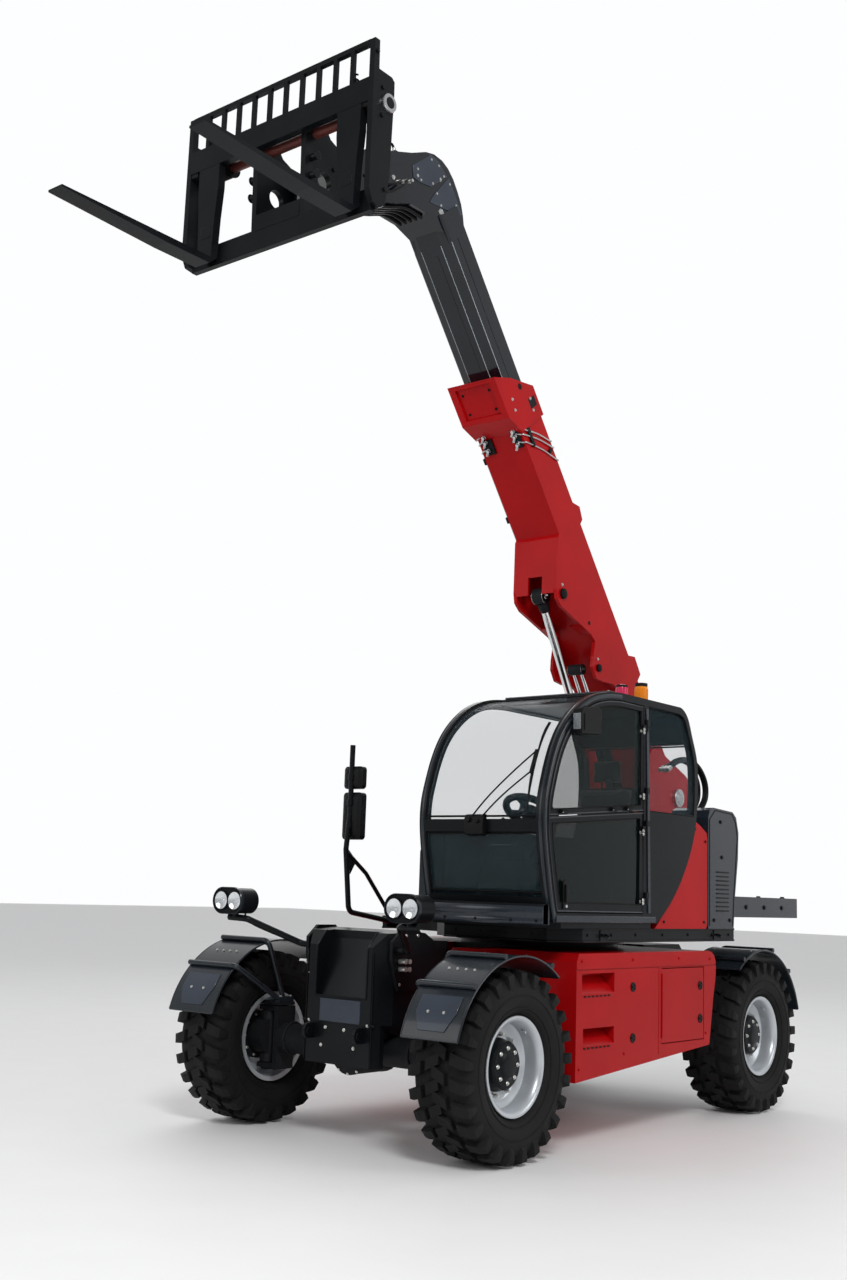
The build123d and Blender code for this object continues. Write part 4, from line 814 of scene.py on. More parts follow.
for a, b in (((1.060, .760), (1.060, 2.780)), ((.930, .560), (1.060, .760)), ((.200, .480), (.930, .560)), ((-1.000, 1.282), (-1.000, 2.780))):
    edge.tube([V(a[0], a[1], 1.219), V(b[0], b[1], 1.219)], .0075, 10, bend=False)
    edge.tube([V(a[0], a[1], 1.297), V(b[0], b[1], 1.297)], .0075, 10, bend=False)
edge.done()
# apron's rolled top edge and pressed line in front of the cab


def apron(t, grow, z):
    """t from 0 to 1 across the curved apron."""
    x = .165 + (1.112 - .165) * t
    # circle through the three plan points
    ax_, ay, bx, by, cx, cy = .165, .235, .640, .158, 1.112, .252
    d = 2 * (ax_ * (by - cy) + bx * (cy - ay) + cx * (ay - by))
    ux = ((ax_ ** 2 + ay ** 2) * (by - cy) + (bx ** 2 + by ** 2) * (cy - ay) + (cx ** 2 + cy ** 2) * (ay - by)) / d
    uy = ((ax_ ** 2 + ay ** 2) * (cx - bx) + (bx ** 2 + by ** 2) * (ax_ - cx) + (cx ** 2 + cy ** 2) * (bx - ax_)) / d
    r = math.hypot(ax_ - ux, ay - uy) + grow
    return V(x, uy - math.sqrt(max(0, r * r - (x - ux) ** 2)), z)


ap = Piece("cab_apron_cover", "slate", "turret", "black_steel", smooth=60)
rows = []
for i in range(25):
    t = i / 24
    rows.append([apron(t, -.060, 1.4405), apron(t, -.030, 1.4405), apron(t, -.010, 1.436), apron(t, .003, 1.424), apron(t, .008, 1.405), apron(t, .008, 1.375),
                 apron(t, .001, 1.360), apron(t, .004, 1.350), apron(t, .006, 1.335), apron(t, .001, 1.3205), apron(t, -.060, 1.3205)])
ap.rings(rows, closed=True, caps=True)
ap.done()
apb = Piece("cab_apron_bolts", "black", "turret", "bright_steel")
for t in (.06, .30, .55, .80, .96):
    apb.bolt(apron(t, .0055, 1.3425), -Y, .007, .006)
apb.done()

ct = Piece("counterweight_fittings", "black", "turret", "bright_steel")
for x in (-.95, -.70, .70, .95):
    y = 1.850 + math.sqrt(2.25 ** 2 - x * x)
    ct.bolt(V(x, y - .06, 1.530), Z, .016, .012)
for x in (-.62, .62):
    ct.tube([V(x - .05, 3.55, 1.528), V(x - .045, 3.55, 1.575), V(x, 3.55, 1.600), V(x + .045, 3.55, 1.575), V(x + .05, 3.55, 1.528)], .012, 12)
for y in (2.95, 3.25, 3.55):
    ct.bolt(V(1.075, y, 1.456), X, .014, .010)
    ct.bolt(V(-1.075, y, 1.456), -X, .014, .010)
ct.done()


def tail(x, z, out=0.0):
    """A point on the counterweight's curved rear face."""
    r = 2.25 + out
    return V(x, 1.850 + math.sqrt(r * r - x * x), z)


tl = Piece("tail_lamp_cases", "plastic", "turret", "black_plastic", bevel=0.003)
tr_ = Piece("tail_lamp_red", "pink", "turret", "clear_glass", bevel=0.002)
ta = Piece("tail_lamp_amber", "amber", "turret", "amber_lens", bevel=0.002)
for sx in (-1, 1):
    def strip(piece, x0, x1, z0, z1, o0, o1, n=6):
        rws = []
        for i in range(n + 1):
            x = sx * (x0 + (x1 - x0) * i / n)
            rws.append([tail(x, z0, o0), tail(x, z0, o1), tail(x, z1, o1), tail(x, z1, o0)])
        piece.rings(rws, caps=True)
    strip(tl, .72, 1.00, 1.405, 1.507, -.004, .022)
    strip(tr_, .73, .86, 1.414, 1.498, .021, .034)
    strip(ta, .868, .99, 1.414, 1.498, .021, .034)
for p in (tl, tr_, ta):
    p.done()
plate = Piece("blank_number_plate", "label", "turret", "black_steel", bevel=0.001)
rws = []
for i in range(7):
    x = -.26 + .52 * i / 6
    rws.append([tail(x, 1.402, -.002), tail(x, 1.402, .006), tail(x, 1.510, .006), tail(x, 1.510, -.002)])
plate.rings(rws, caps=True)
plate.done()

cw = Piece("cowl_details", "plastic", "turret", "black_plastic", bevel=0.0012)
for k in range(10):
    z = 1.42 + k * .030
    cw.box(1.0995, 1.106, 2.44, 2.62, z, z + .010)
for k in range(12):
    z = 1.42 + k * .030
    cw.box(-1.0955, -1.0895, 2.05, 2.55, z, z + .010)
cw.done()
cl = Piece("cowl_panel_lines", "seal", "turret", "black_plastic")
cl.tube([V(1.1003, 2.335, 1.32), V(1.1003, 2.335, 2.06), V(1.1003, 2.42, 2.128), V(1.1003, 2.68, 2.115), V(1.1003, 2.735, 2.06), V(1.1003, 2.762, 1.95), V(1.1003, 2.705, 1.53), V(1.1003, 2.685, 1.32)], .0035, 6, bend=False)
cl.tube([V(.95, 2.3158, 1.32), V(.95, 2.3158, 2.05)], .0030, 6, bend=False)
cl.tube([V(-1.0903, 1.83, 1.32), V(-1.0903, 1.83, 1.78), V(-1.0903, 1.90, 1.862), V(-1.0903, 2.64, 1.862), V(-1.0903, 2.735, 1.79), V(-1.0903, 2.68, 1.32)], .0035, 6, bend=False)
cl.done()
cb_ = Piece("cowl_bolts", "black", "turret", "bright_steel")
for y, z in ((2.50, 2.05), (2.52, 1.80), (2.40, 1.36), (2.64, 1.36)):
    cb_.bolt(V(1.100, y, z), X, .011, .009)
for y, z in ((1.95, 1.80), (2.60, 1.80), (1.90, 1.36), (2.64, 1.36)):
    cb_.bolt(V(-1.090, y, z), -X, .011, .009)
for y, z in ((1.70, 1.345), (2.26, 1.345), (2.28, 1.90), (2.13, 1.98)):
    cb_.bolt(V(1.096, y, z), X, .008, .007)
cb_.done()
# hose loop behind the cab
hl = Piece("cab_hose_loop", "hose", "turret", "black_plastic")
for k, (dx, dr) in enumerate(((0, 0), (-.030, .012), (-.060, -.008))):
    x = .90 + dx
    hl.tube([V(x, 2.11, 2.40 - dr), V(x, 2.24, 2.46 + dr), V(x, 2.42, 2.49 + dr), V(x, 2.56, 2.45 + dr), V(x, 2.66 + dr, 2.35), V(x, 2.67 + dr, 2.24), V(x, 2.60, 2.15), V(x, 2.56, 2.120)], .0125, 12)
hl.done()
hf = Piece("cab_hose_fittings", "zinc", "turret", "bright_steel")
for dx in (0, -.030, -.060):
    hf.cyl(V(.90 + dx, 2.085, 2.392), V(.90 + dx, 2.135, 2.415), .0165, 6)
    hf.cyl(V(.90 + dx, 2.553, 2.100), V(.90 + dx, 2.563, 2.150), .0165, 6)
hf.done()

# ------------------------------------------------------------------ boom tower
tw = Piece("tower_pin_keepers", "steel", "turret", "bright_steel", bevel=0.002)
tb = Piece("tower_bolts", "zinc", "turret", "bright_steel")
for y, z, r in ((3.720, 2.320, .045), (3.300, 1.650, .030), (3.500, 1.850, .022)):
    for x, d in ((.105, 1), (-.470, -1)):
        c = V(x, y, z)
        tw.lathe(c, X * d, [(-.028, r + .030), (-.002, r + .030), (.002, r + .024), (.002, r + .004), (.008, r - .002), (.008, .0001)], seg=40)
        ringbolts(tb, c + X * d * -.002, X * d, r + .016, 4, .007, .006, .4)
tw.done()
for x, d in ((.075, 1), (-.435, -1)):
    for y in (3.02, 3.20, 3.66, 3.86):
        tb.bolt(V(x, y, 1.60), X * d, .014, .011)
tb.done()
tg = Piece("tower_base_flanges", "red", "turret", "red_paint", bevel=0.003)
for x0, x1 in ((.075, .150), (-.510, -.435)):
    tg.box(x0, x1, 2.90, 3.96, 1.530, 1.552)
    for y in (3.10, 3.45, 3.80):
        tg.prism([(y - .008, 1.552), (y + .008, 1.552), (y + .008, 1.70), (y - .008, 1.70)], (x0 + x1) / 2 - (.037 if x0 > 0 else -.037), (x0 + x1) / 2 - (.005 if x0 > 0 else -.005))
tg.prism([(2.90, 1.56), (2.985, 1.885), (2.998, 1.88), (2.915, 1.56)], .033, .0765)
tg.done()

# ------------------------------------------------------------------ cab: rounded frame tubes, seals, hardware
tub = Piece("cab_frame_tubes", "slate", "turret", "black_steel")
front = [p for p in curve(inset(CAB, .024)[:15], 5)]
rear = [p for p in curve(inset(CAB, .022)[15:], 5)]
for x in (1.097, .203):
    tub.tube([V(x, a, b) for a, b in front], .026, 16, bend=False)
    tub.tube([V(x, a, b) for a, b in [front[-1]] + rear], .0225, 14, bend=False)
for pts_i in (0, -1):
    pass
tub.done()
post = Piece("door_post_strip", "slate", "turret", "black_steel", bevel=0.002)
post.prism([(1.404, 2.735), (1.434, 2.735), (1.474, 1.400), (1.444, 1.400)], 1.1195, 1.127)
post.done()
sill = Piece("cab_sill", "slate", "turret", "black_steel", bevel=0.004)
sill.box(1.085, 1.128, .37, 1.54, 1.337, 1.378)
sill.box(.172, .212, .37, 1.54, 1.337, 1.378)
sill.done()
roof = Piece("cab_roof_panel", "slate", "turret", "black_steel", bevel=0.006)
roof.box(.235, 1.065, 1.030, 1.86, 2.799, 2.812)
for k in range(4):
    y = 1.14 + k * .19
    roof.box(.30, 1.0, y, y + .07, 2.811, 2.820)
roof.done()
rb = Piece("cab_bolts", "zinc", "turret", "bright_steel")
for x in (.26, 1.04):
    for y in (1.06, 1.30, 1.60, 1.83):
        rb.bolt(V(x, y, 2.812), Z, .007, .006)
for z in (1.4965, 1.9695, 2.1735, 2.6335):
    pass
rb.done()
UPW = keep(inset(LEAF, .034), lambda p: p[1] - belt(p[0]) - .040)
LOW = keep(keep(inset(LEAF, .044), lambda p: belt(p[0]) - .042 - p[1]), lambda p: p[1] - 1.452)
QTR = keep(keep(arch(.046), lambda p: p[0] - 1.452), lambda p: p[1] - 2.062)
RGT = keep(arch(.060), lambda p: p[1] - 1.900)
loop("upper_door_seal", UPW, 1.1175, .0055, "door_top")
loop("lower_door_seal", LOW, 1.1175, .0055, "door_bottom")
loop("upper_door_edge", keep(inset(LEAF, .006), lambda p: p[1] - belt(p[0]) - .010), 1.1195, .0045, "door_top", "slate", "black_steel")
loop("lower_door_edge", keep(inset(LEAF, .006), lambda p: belt(p[0]) - .010 - p[1]), 1.1195, .0045, "door_bottom", "slate", "black_steel")
loop("quarter_window_seal", QTR, 1.1175, .0055, "turret")
loop("right_window_seal", RGT, .1825, .0055, "turret")
ws = Piece("windscreen_seals", "seal", "turret", "black_plastic")
arc_in = curve(inset(CAB, .012)[:15], 5)
up_ = [p for p in arc_in if p[1] >= 1.938 and p[0] <= 1.01]
lo_ = [p for p in arc_in if 1.48 <= p[1] <= 1.862]
for seg_ in (up_, lo_):
    ws.tube([V(.2275, *p) for p in seg_] + [V(1.0645, *p) for p in reversed(seg_)] + [V(.2275, *seg_[0])], .0065, 8, bend=False)
ws.tube([V(.2275, 2.118, 1.985), V(.2275, 2.135, 2.20), V(.2275, 2.103, 2.555), V(1.0645, 2.103, 2.555), V(1.0645, 2.135, 2.20), V(1.0645, 2.118, 1.985), V(.2275, 2.118, 1.985)], .0065, 8, bend=False)
ws.done()
# a near-black see-through sheet just inside the lower windscreen: painted shade of the dim cab interior behind it
front_shade_sheet = Piece("lower_front_shade_sheet", "glass_dark", "turret", "clear_glass")
low_in = [p for p in curve(inset(CAB, .030)[:15], 5) if 1.482 <= p[1] <= 1.860]
front_shade_sheet.rings([[V(x, *p) for p in low_in] for x in (.232, 1.060)], closed=False)
front_shade_sheet.done()
# door hardware
hb = Piece("upper_door_hardware", "plastic", "door_top", "black_plastic", bevel=0.002)
hz = Piece("upper_door_bolts", "zinc", "door_top", "bright_steel")
for y in (.425, 1.00, 1.18):
    z = belt(y) + .022
    hb.box(1.1195, 1.136, y - .032, y + .032, z - .013, z + .013)
    hb.bar(V(1.134, y - .03, z + .004), V(1.142, y + .045, z + .012), .012, .014)
    hz.bolt(V(1.136, y - .02, z), X, .005, .004)
for z in (2.130, 2.560):
    for y, zz in ((1.358, .010), (1.358, .030), (1.345, .020)):
        hz.bolt(V(1.134 if y > 1.35 else 1.1195, y, z + zz), X, .0085, .006)
# lamp box with its bracket at the leaf's upper front corner
hb.prism([(.515, 2.475), (.735, 2.490), (.742, 2.640), (.700, 2.662), (.530, 2.632), (.510, 2.600)], 1.1215, 1.192)
hb.prism([(.540, 2.500), (.565, 2.500), (.565, 2.600), (.540, 2.600)], 1.192, 1.197)
hb.done()
lampg = Piece("door_lamp_lens", "lens", "door_top", "clear_glass", bevel=0.002)
lampg.prism([(.5125, 2.50), (.5145, 2.50), (.5120, 2.60), (.5095, 2.60)], 1.130, 1.184)
lampg.done()
hz.done()
lb = Piece("lower_door_hardware", "plastic", "door_bottom", "black_plastic", bevel=0.002)
lz = Piece("lower_door_bolts", "zinc", "door_bottom", "bright_steel")
lb.prism([(.438, 1.415), (.482, 1.415), (.478, 1.575), (.448, 1.590), (.436, 1.575)], 1.1195, 1.129)
lb.bar(V(1.136, .462, 1.455), V(1.136, .458, 1.560), .012, .022)
lb.box(1.128, 1.137, .450, .474, 1.452, 1.462)
lz.cyl(V(1.129, .462, 1.432), V(1.137, .462, 1.432), .009, 20)
for z in (1.452, 1.896):
    for y, zz in ((1.358, .010), (1.358, .030), (1.345, .020)):
        lz.bolt(V(1.134 if y > 1.35 else 1.1195, y, z + zz), X, .0085, .006)
lb.done()
lz.done()
# wiper
wp = Piece("wiper", "plastic", "turret", "black_plastic", bevel=0.002)
wp.prism([(.2195, 1.835), (.186, 1.845), (.176, 1.870), (.176, 1.940), (.190, 1.962), (.2195, 1.968)], .565, .705)


def glass(z):
    """The windscreen's front at height z."""
    pts = curve(CAB[:15], 6)
    for a, b in zip(pts, pts[1:]):
        if a[1] <= z <= b[1]:
            t = (z - a[1]) / (b[1] - a[1])
            return a[0] + t * (b[0] - a[0])
    return .218


for x0, z0, x1, z1 in ((.600, 1.935, 1.005, 2.345), (.665, 1.925, 1.010, 2.225)):
    line = []
    for i in range(9):
        t = i / 8
        z = z0 + (z1 - z0) * t
        line.append(V(x0 + (x1 - x0) * t, glass(z) - .030 - .012 * sin(pi * t), z))
    wp.tube(line, .0055, 8, bend=False)
wp.cyl(V(.600, .178, 1.935), V(.600, .160, 1.935), .018, 20)
wp.cyl(V(.665, .178, 1.925), V(.665, .160, 1.925), .014, 20)
line = [V(1.008 + .004 * sin(i), glass(1.99 + .55 * i / 12) - .012, 1.99 + .55 * i / 12) for i in range(13)]
wp.tube(line, .0065, 8, bend=False)
wp.bar(V(1.006, glass(2.21) - .028, 2.21), V(1.008, glass(2.36) - .028, 2.36), .018, .010)
wp.done()
blade = Piece("wiper_rubber", "seal", "turret", "black_plastic")
blade.tube([V(1.010, glass(1.99 + .55 * i / 12) - .004, 1.99 + .55 * i / 12) for i in range(13)], .0035, 6, bend=False)
blade.done()

# ------------------------------------------------------------------ beacons
am = Piece("amber_beacon", "amber", "turret", "amber_lens")
am.lathe(V(.880, 1.750, 2.840), Z, [(0, .0465), (.008, .0465), (.012, .0455), (.090, .0455), (.112, .0425), (.124, .034), (.130, .018), (.131, .0001)], seg=48)
for k in range(24):
    a = 2 * pi * k / 24
    am.cyl(V(.880 + .0455 * cos(a), 1.750 + .0455 * sin(a), 2.855), V(.880 + .0455 * cos(a), 1.750 + .0455 * sin(a), 2.925), .0025, 6)
am.done()
pk = Piece("red_beacon", "pink", "turret", "clear_glass")
pk.lathe(V(.838, 1.560, 2.830), Z, [(0, .0425), (.006, .0425), (.010, .0415), (.080, .0415), (.098, .036), (.106, .022), (.108, .0001)], seg=48)
pk.done()
bb = Piece("beacon_bases", "plastic", "turret", "black_plastic")
bb.lathe(V(.880, 1.750, 2.800), Z, [(0, .060), (.010, .060), (.014, .054), (.036, .054), (.040, .048), (.040, .040)], seg=48)
bb.lathe(V(.838, 1.560, 2.800), Z, [(0, .052), (.008, .052), (.012, .046), (.028, .046), (.031, .042), (.031, .036)], seg=48)
bb.tube([V(.880, 1.800, 2.808), V(.880, 1.90, 2.812), V(.86, 1.97, 2.775), V(.86, 2.02, 2.70)], .006, 8)
bb.done()

# ------------------------------------------------------------------ seat, wheel and levers
SEAT = {}


def cushion(name, x0, x1, pts, cap_move, mat="fabric"):
    """A stuffed pad: a side outline between x0 and x1, swollen by a cloth simulation."""
    me = bpy.data.meshes.new(name)
    bm = bmesh.new()
    p = Piece(name, mat, "turret")
    p.prism(pts, x0, x1)
    bmesh.ops.recalc_face_normals(p.bm, faces=p.bm.faces)
    bmesh.ops.subdivide_edges(p.bm, edges=p.bm.edges, cuts=3, use_grid_fill=True)
    p.bm.to_mesh(me)
    p.bm.free()
    bm.free()
    me.materials.append(M[mat])
    o = bpy.data.objects.new(name, me)
    bpy.context.scene.collection.objects.link(o)
    with_bevel = o.modifiers.new("round", "BEVEL")
    with_bevel.width, with_bevel.segments, with_bevel.limit_method, with_bevel.angle_limit = .020, 3, "ANGLE", rad(50)
    rm = o.modifiers.new("remesh", "REMESH")
    rm.mode, rm.voxel_size = "VOXEL", 0.006
    dg = bpy.context.evaluated_depsgraph_get()
    new = bpy.data.meshes.new_from_object(o.evaluated_get(dg))
    o.modifiers.clear()
    o.data = new
    base = [v.co.copy() for v in o.data.vertices]
    cl_ = o.modifiers.new("cloth", "CLOTH")
    st = cl_.settings
    st.use_pressure = True
    st.uniform_pressure_force = 4.0
    st.effector_weights.gravity = 0
    st.quality = 4
    st.tension_stiffness = st.compression_stiffness = 25
    cl_.point_cache.frame_start, cl_.point_cache.frame_end = 1, 20
    scn = bpy.context.scene
    for f in range(1, 21):
        scn.frame_set(f)
    dg = bpy.context.evaluated_depsgraph_get()
    ev = o.evaluated_get(dg)
    em = ev.to_mesh()
    moved = [v.co.copy() for v in em.vertices]
    ev.to_mesh_clear()
    o.modifiers.clear()
    for v, a, b in zip(o.data.vertices, base, moved):
        d = b - a
        if d.length > cap_move:
            d = d.normalized() * cap_move
        v.co = a + d
    scn.frame_set(1)
    o.data.materials.clear()
    o.data.materials.append(M[mat])
    for f in o.data.polygons:
        f.use_smooth = True
    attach(o, "turret")
    SEAT[name] = o
    return o


if "operator_seat" in NODES:
    c1 = cushion("seat_cushion", .450, .850, [(1.150, 1.655), (1.150, 1.720), (1.200, 1.735), (1.500, 1.725), (1.520, 1.655)], .024)
    c2 = cushion("seat_backrest", .455, .845, [(1.545, 1.775), (1.525, 1.790), (1.630, 2.225), (1.720, 2.225), (1.690, 2.00), (1.655, 1.775)], .024)
    c3 = cushion("seat_headrest", .545, .755, [(1.665, 2.275), (1.665, 2.425), (1.715, 2.425), (1.720, 2.275)], .014)
    sw = Piece("seat_frame", "plastic", "turret", "black_plastic", bevel=0.004)
    sw.box(.440, .860, 1.140, 1.600, 1.642, 1.662)
    sw.prism([(1.560, 1.662), (1.685, 1.662), (1.742, 2.240), (1.722, 2.240), (1.665, 1.760)], .448, .852)
    for x in (.60, .70):
        sw.cyl(V(x, 1.705, 2.215), V(x, 1.700, 2.300), .007, 12)
    sw.done()
    for o_ in (c1, c2, c3):
        pass
    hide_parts("operator_seat")
    pipe = Piece("seat_piping", "seal", "turret", "black_plastic")
    pipe.tube([V(.452, 1.148, 1.745), V(.848, 1.148, 1.745)], .004, 8, bend=False)
    pipe.done()
    belt_ = Piece("seat_belt", "seal", "turret", "black_plastic", bevel=0.001)
    belt_.prism([(1.505, 1.700), (1.555, 1.700), (1.555, 1.790), (1.505, 1.790)], .425, .432)
    belt_.box(.418, .440, 1.50, 1.56, 1.79, 1.85)
    belt_.done()

WN = Vector((0, .200, .310)).normalized()
WC = V(.650, .760, 2.000) + WN * .015
WU = Vector((1, 0, 0))
WV = WN.cross(WU).normalized()
rimw = Piece("steering_wheel_rim", "plastic", "turret", "black_plastic")
rimw.tube([WC + (WU * cos(2 * pi * i / 64) + WV * sin(2 * pi * i / 64)) * .1675 for i in range(65)], .0240, 14, bend=False)
rimw.done()
boss = Piece("steering_wheel_boss", "plastic", "turret", "black_plastic")
boss.lathe(WC - WN * .030, WN, [(0, .036), (.010, .052), (.045, .053), (.058, .047), (.064, .030), (.066, .0001)], seg=40)
for a in (0, pi):
    d = WU * cos(a)
    boss.tube([WC + d * .045, WC + d * .10 - WN * .002, WC + d * .15], .0185, 12)
boss.cyl(WC + (WU * -.10 + WV * .02) + WN * .02, WC + (WU * -.10 + WV * .02) + WN * .060, .017, 16)
boss.dome(WC + (WU * -.10 + WV * .02) + WN * .060, WN, .021, .018)
boss.cyl(V(.650, .560, 1.700) - WN * .004, V(.650, .750, 1.985), .040, 28)
boss.done()
lev = Piece("cab_levers", "plastic", "turret", "black_plastic", bevel=0.002)
lev.tube([V(.650, .700, 1.925), V(.74, .690, 1.945), V(.80, .680, 1.965)], .007, 10)
lev.dome(V(.80, .680, 1.965), X, .012, .016)
lev.tube([V(.650, .700, 1.925), V(.56, .690, 1.945), V(.50, .680, 1.965)], .007, 10)
lev.dome(V(.50, .680, 1.965), -X, .012, .016)
# joystick, armrest and switches on the side console
lev.lathe(V(.970, 1.180, 1.800), Z, [(0, .050), (.010, .048), (.030, .030), (.046, .016), (.050, .012)], seg=28)
lev.tube([V(.970, 1.180, 1.840), V(.970, 1.172, 1.900), V(.970, 1.165, 1.930)], .012, 12)
lev.lathe(V(.970, 1.165, 1.925), Vector((0, -.12, 1)), [(0, .018), (.02, .023), (.06, .025), (.085, .022), (.098, .012), (.100, .0001)], seg=24)
for k in range(6):
    lev.box(.925 + k * .016, .937 + k * .016, 1.27, 1.30, 1.799, 1.808)
# switch panel and blank display on the front console
lev.prism([(.505, 1.702), (.600, 1.702), (.640, 1.730), (.560, 1.800), (.515, 1.790)], .515, .785)
lev.tube([V(.78, .58, 1.72), V(.86, .56, 1.80), V(.90, .55, 1.88)], .010, 10)
lev.prism([(.540, 1.870), (.552, 1.862), (.595, 1.990), (.583, 1.998)], .825, .985)
# pedals
for x in (.55, .72):
    lev.prism([(.655, 1.395), (.668, 1.392), (.628, 1.500), (.615, 1.497)], x - .035, x + .035)
lev.done()
arm = Piece("console_armrest", "fabric", "turret", "seat_fabric", bevel=0.018)
arm.box(.912, 1.028, 1.33, 1.55, 1.798, 1.842)
arm.done()
scr = Piece("blank_display", "glass_dark", "turret", "clear_glass", bevel=0.001)
scr.prism([(.5545, 1.877), (.5560, 1.8765), (.5905, 1.979), (.5890, 1.9795)], .834, .976)
scr.done()
mat_ = Piece("cab_floor_mat", "rubber", "turret", "black_plastic", bevel=0.002)
mat_.box(.245, 1.055, .66, 1.14, 1.3835, 1.392)
for k in range(14):
    mat_.box(.255, 1.045, .68 + k * .032, .692 + k * .032, 1.391, 1.396)
mat_.done()

# ------------------------------------------------------------------ mirrors
mg = Piece("mirror_glass", "mirror", "turret", "bright_steel", bevel=0.0015)
mg.box(-.977, -.818, .8215, .8245, 2.198, 2.342)
mg.box(-.975, -.822, .8315, .8345, 1.845, 2.152)
mg.done()
mc = Piece("mirror_shells", "plastic", "turret", "black_plastic", smooth=60)
for x0, x1, z0, z1, yb in ((-.985, -.810, 2.190, 2.350, .781), (-.985, -.812, 1.832, 2.165, .781)):
    # crowned back
    nx, nz = 12, 16
    rows = []
    for j in range(nz + 1):
        row = []
        for i in range(nx + 1):
            u, v = i / nx * 2 - 1, j / nz * 2 - 1
            h = .022 * (1 - abs(u) ** 3) ** .6 * (1 - abs(v) ** 4) ** .6
            q = 1 - .30 * max(0, abs(u) - .5) * max(0, abs(v) - .5) * 4 * .25
            row.append(V((x0 + x1) / 2 + (x1 - x0) / 2 * u * q * .985, yb - .0005 - h, (z0 + z1) / 2 + (z1 - z0) / 2 * v * q * .985))
        rows.append(row)
    mc.rings(rows, closed=False)
mc.done()
mk = Piece("mirror_clamps", "black", "turret", "black_steel", bevel=0.002)
for z in (2.27, 1.93, 2.09):
    mk.lathe(V(-.900, .762, z - .02), Z, [(0, .019), (0, .026), (.04, .026), (.04, .019)], seg=24)
    mk.box(-.915, -.885, .768, .782, z - .016, z + .016)
# gusset between the post and its brace
mk.prism([(.752, 1.770), (.760, 1.560), (.795, 1.600), (.850, 1.685)], -.904, -.896)
for y, z in ((1.285, 1.262), (1.278, 1.285)):
    mk.box(-.945, -.855, 1.262, 1.283, 1.225, 1.296)
mk.done()

# ------------------------------------------------------------------ boom
cyd = Piece("cylinder_glands", "black", "lift_barrel", "black_steel")
LF, LE = V(-.180, 3.300, 1.650), B(2.164, -.420, -.180)
CF, CE = V(-.180, 3.500, 1.850), B(1.452, -.325, -.180)
ld, cd = (LE - LF).normalized(), (CE - CF).normalized()
cyd.lathe(LF + ld * 1.432, ld, [(0, .0683), (0, .076), (.050, .076), (.054, .072), (.068, .072), (.072, .066), (.072, .0335)], seg=40)
cyd.lathe(LF + ld * .066, ld, [(0, .058), (.004, .072), (.060, .072), (.064, .0683)], seg=40)
cyd.done()
lp = Piece("lift_cylinder_ports", "zinc", "lift_barrel", "bright_steel")
side = ld.cross(X).normalized()
for d in (.15, 1.40):
    p = LF + ld * d + side * .066
    lp.cyl(p, p + side * .030, .016, 6)
    lp.cyl(p + side * .020, p + side * .036, .013, 16)
lp.tube([LF + ld * .15 + side * .098, LF + ld * .20 + side * .100, LF + ld * .75 + side * .086, LF + ld * 1.34 + side * .088, LF + ld * 1.40 + side * .098], .009, 10)
lp.done()
cyd2 = Piece("levelling_glands", "black", "level_barrel", "black_steel")
for dx in (-.036, .036):
    cyd2.lathe(CF + X * dx + cd * 1.035, cd, [(0, .0333), (0, .0355), (.040, .0355), (.046, .030), (.046, .0165)], seg=32)
cyd2.done()
eyes = Piece("lift_rod_eye_collar", "cast", "lift_piston", "engine_metal")
eyes.lathe(LE - ld * .075, -ld, [(-.02, .046), (0, .046), (.02, .044), (.05, .036), (.055, .0325)], seg=36)
eyes.lathe(LE - X * .0485, X, [(0, .0290), (0, .0600), (.003, .0632), (.094, .0632), (.097, .0600), (.097, .0290)], seg=40)
eyes.done()
ey2 = Piece("levelling_rod_eye", "cast", "level_piston", "engine_metal")
ey2.lathe(CE - X * .0625, X, [(0, .0210), (0, .0405), (.002, .0432), (.123, .0432), (.125, .0405), (.125, .0210)], seg=36)
ey2.done()

bo = Piece("boom_fittings", "zinc", "boom", "bright_steel")
# black rubber pin caps, and thin black discs that paint the shade inside the boom's round holes
bk = Piece("boom_pin_caps_and_hole_shade", "seal", "boom", "black_steel")
bp_ = Piece("boom_wear_pad_caps", "black", "boom", "black_steel", bevel=0.002)
for x, d in ((.020, 1), (-.380, -1)):
    xo = x + d * .015
    # wear pad adjusters on the collar's cheeks
    for s_, n_ in ((3.657, -.170), (3.574, .053), (3.576, -.183), (3.485, .040)):
        bo.bolt(B(s_, n_, xo), X * d, .009, .007)
    for s_, n_ in ((2.164, -.420), (1.452, -.325)):
        r = .040 if s_ > 2 else .030
        bk.lathe(B(s_, n_, x + d * .0135), X * d, [(-.010, r), (.004, r), (.007, r - .006), (.007, .0001)], seg=36)
        bo.bolt(B(s_ + .060, n_ + .035, x), X * d, .009, .008)
    # round lightening holes read as dark discs with a pressed rim: the black disc is painted shade standing in for the
    # dark inside of the hole
    for s_, n_ in ((1.80, -.225),):
        bk.lathe(B(s_, n_, x - d * .0005), X * d, [(0, .017), (.0015, .017), (.0015, .0001)], seg=24)
    bk.lathe(B(3.70, -.02, xo - d * .0005), X * d, [(0, .024), (.0015, .024), (.0015, .0001)], seg=24)
for s_ in (3.46, 3.54):
    for x in (-.30, -.18, -.06):
        bo.bolt(B(s_, .150, x), BN, .014, .012)
for s_ in (3.64, 3.79):
    for x in (-.30, -.06):
        bk.cyl(B(s_, -.2695, x), B(s_, -.275, x), .010, 16)
bo.done()
bk.done()
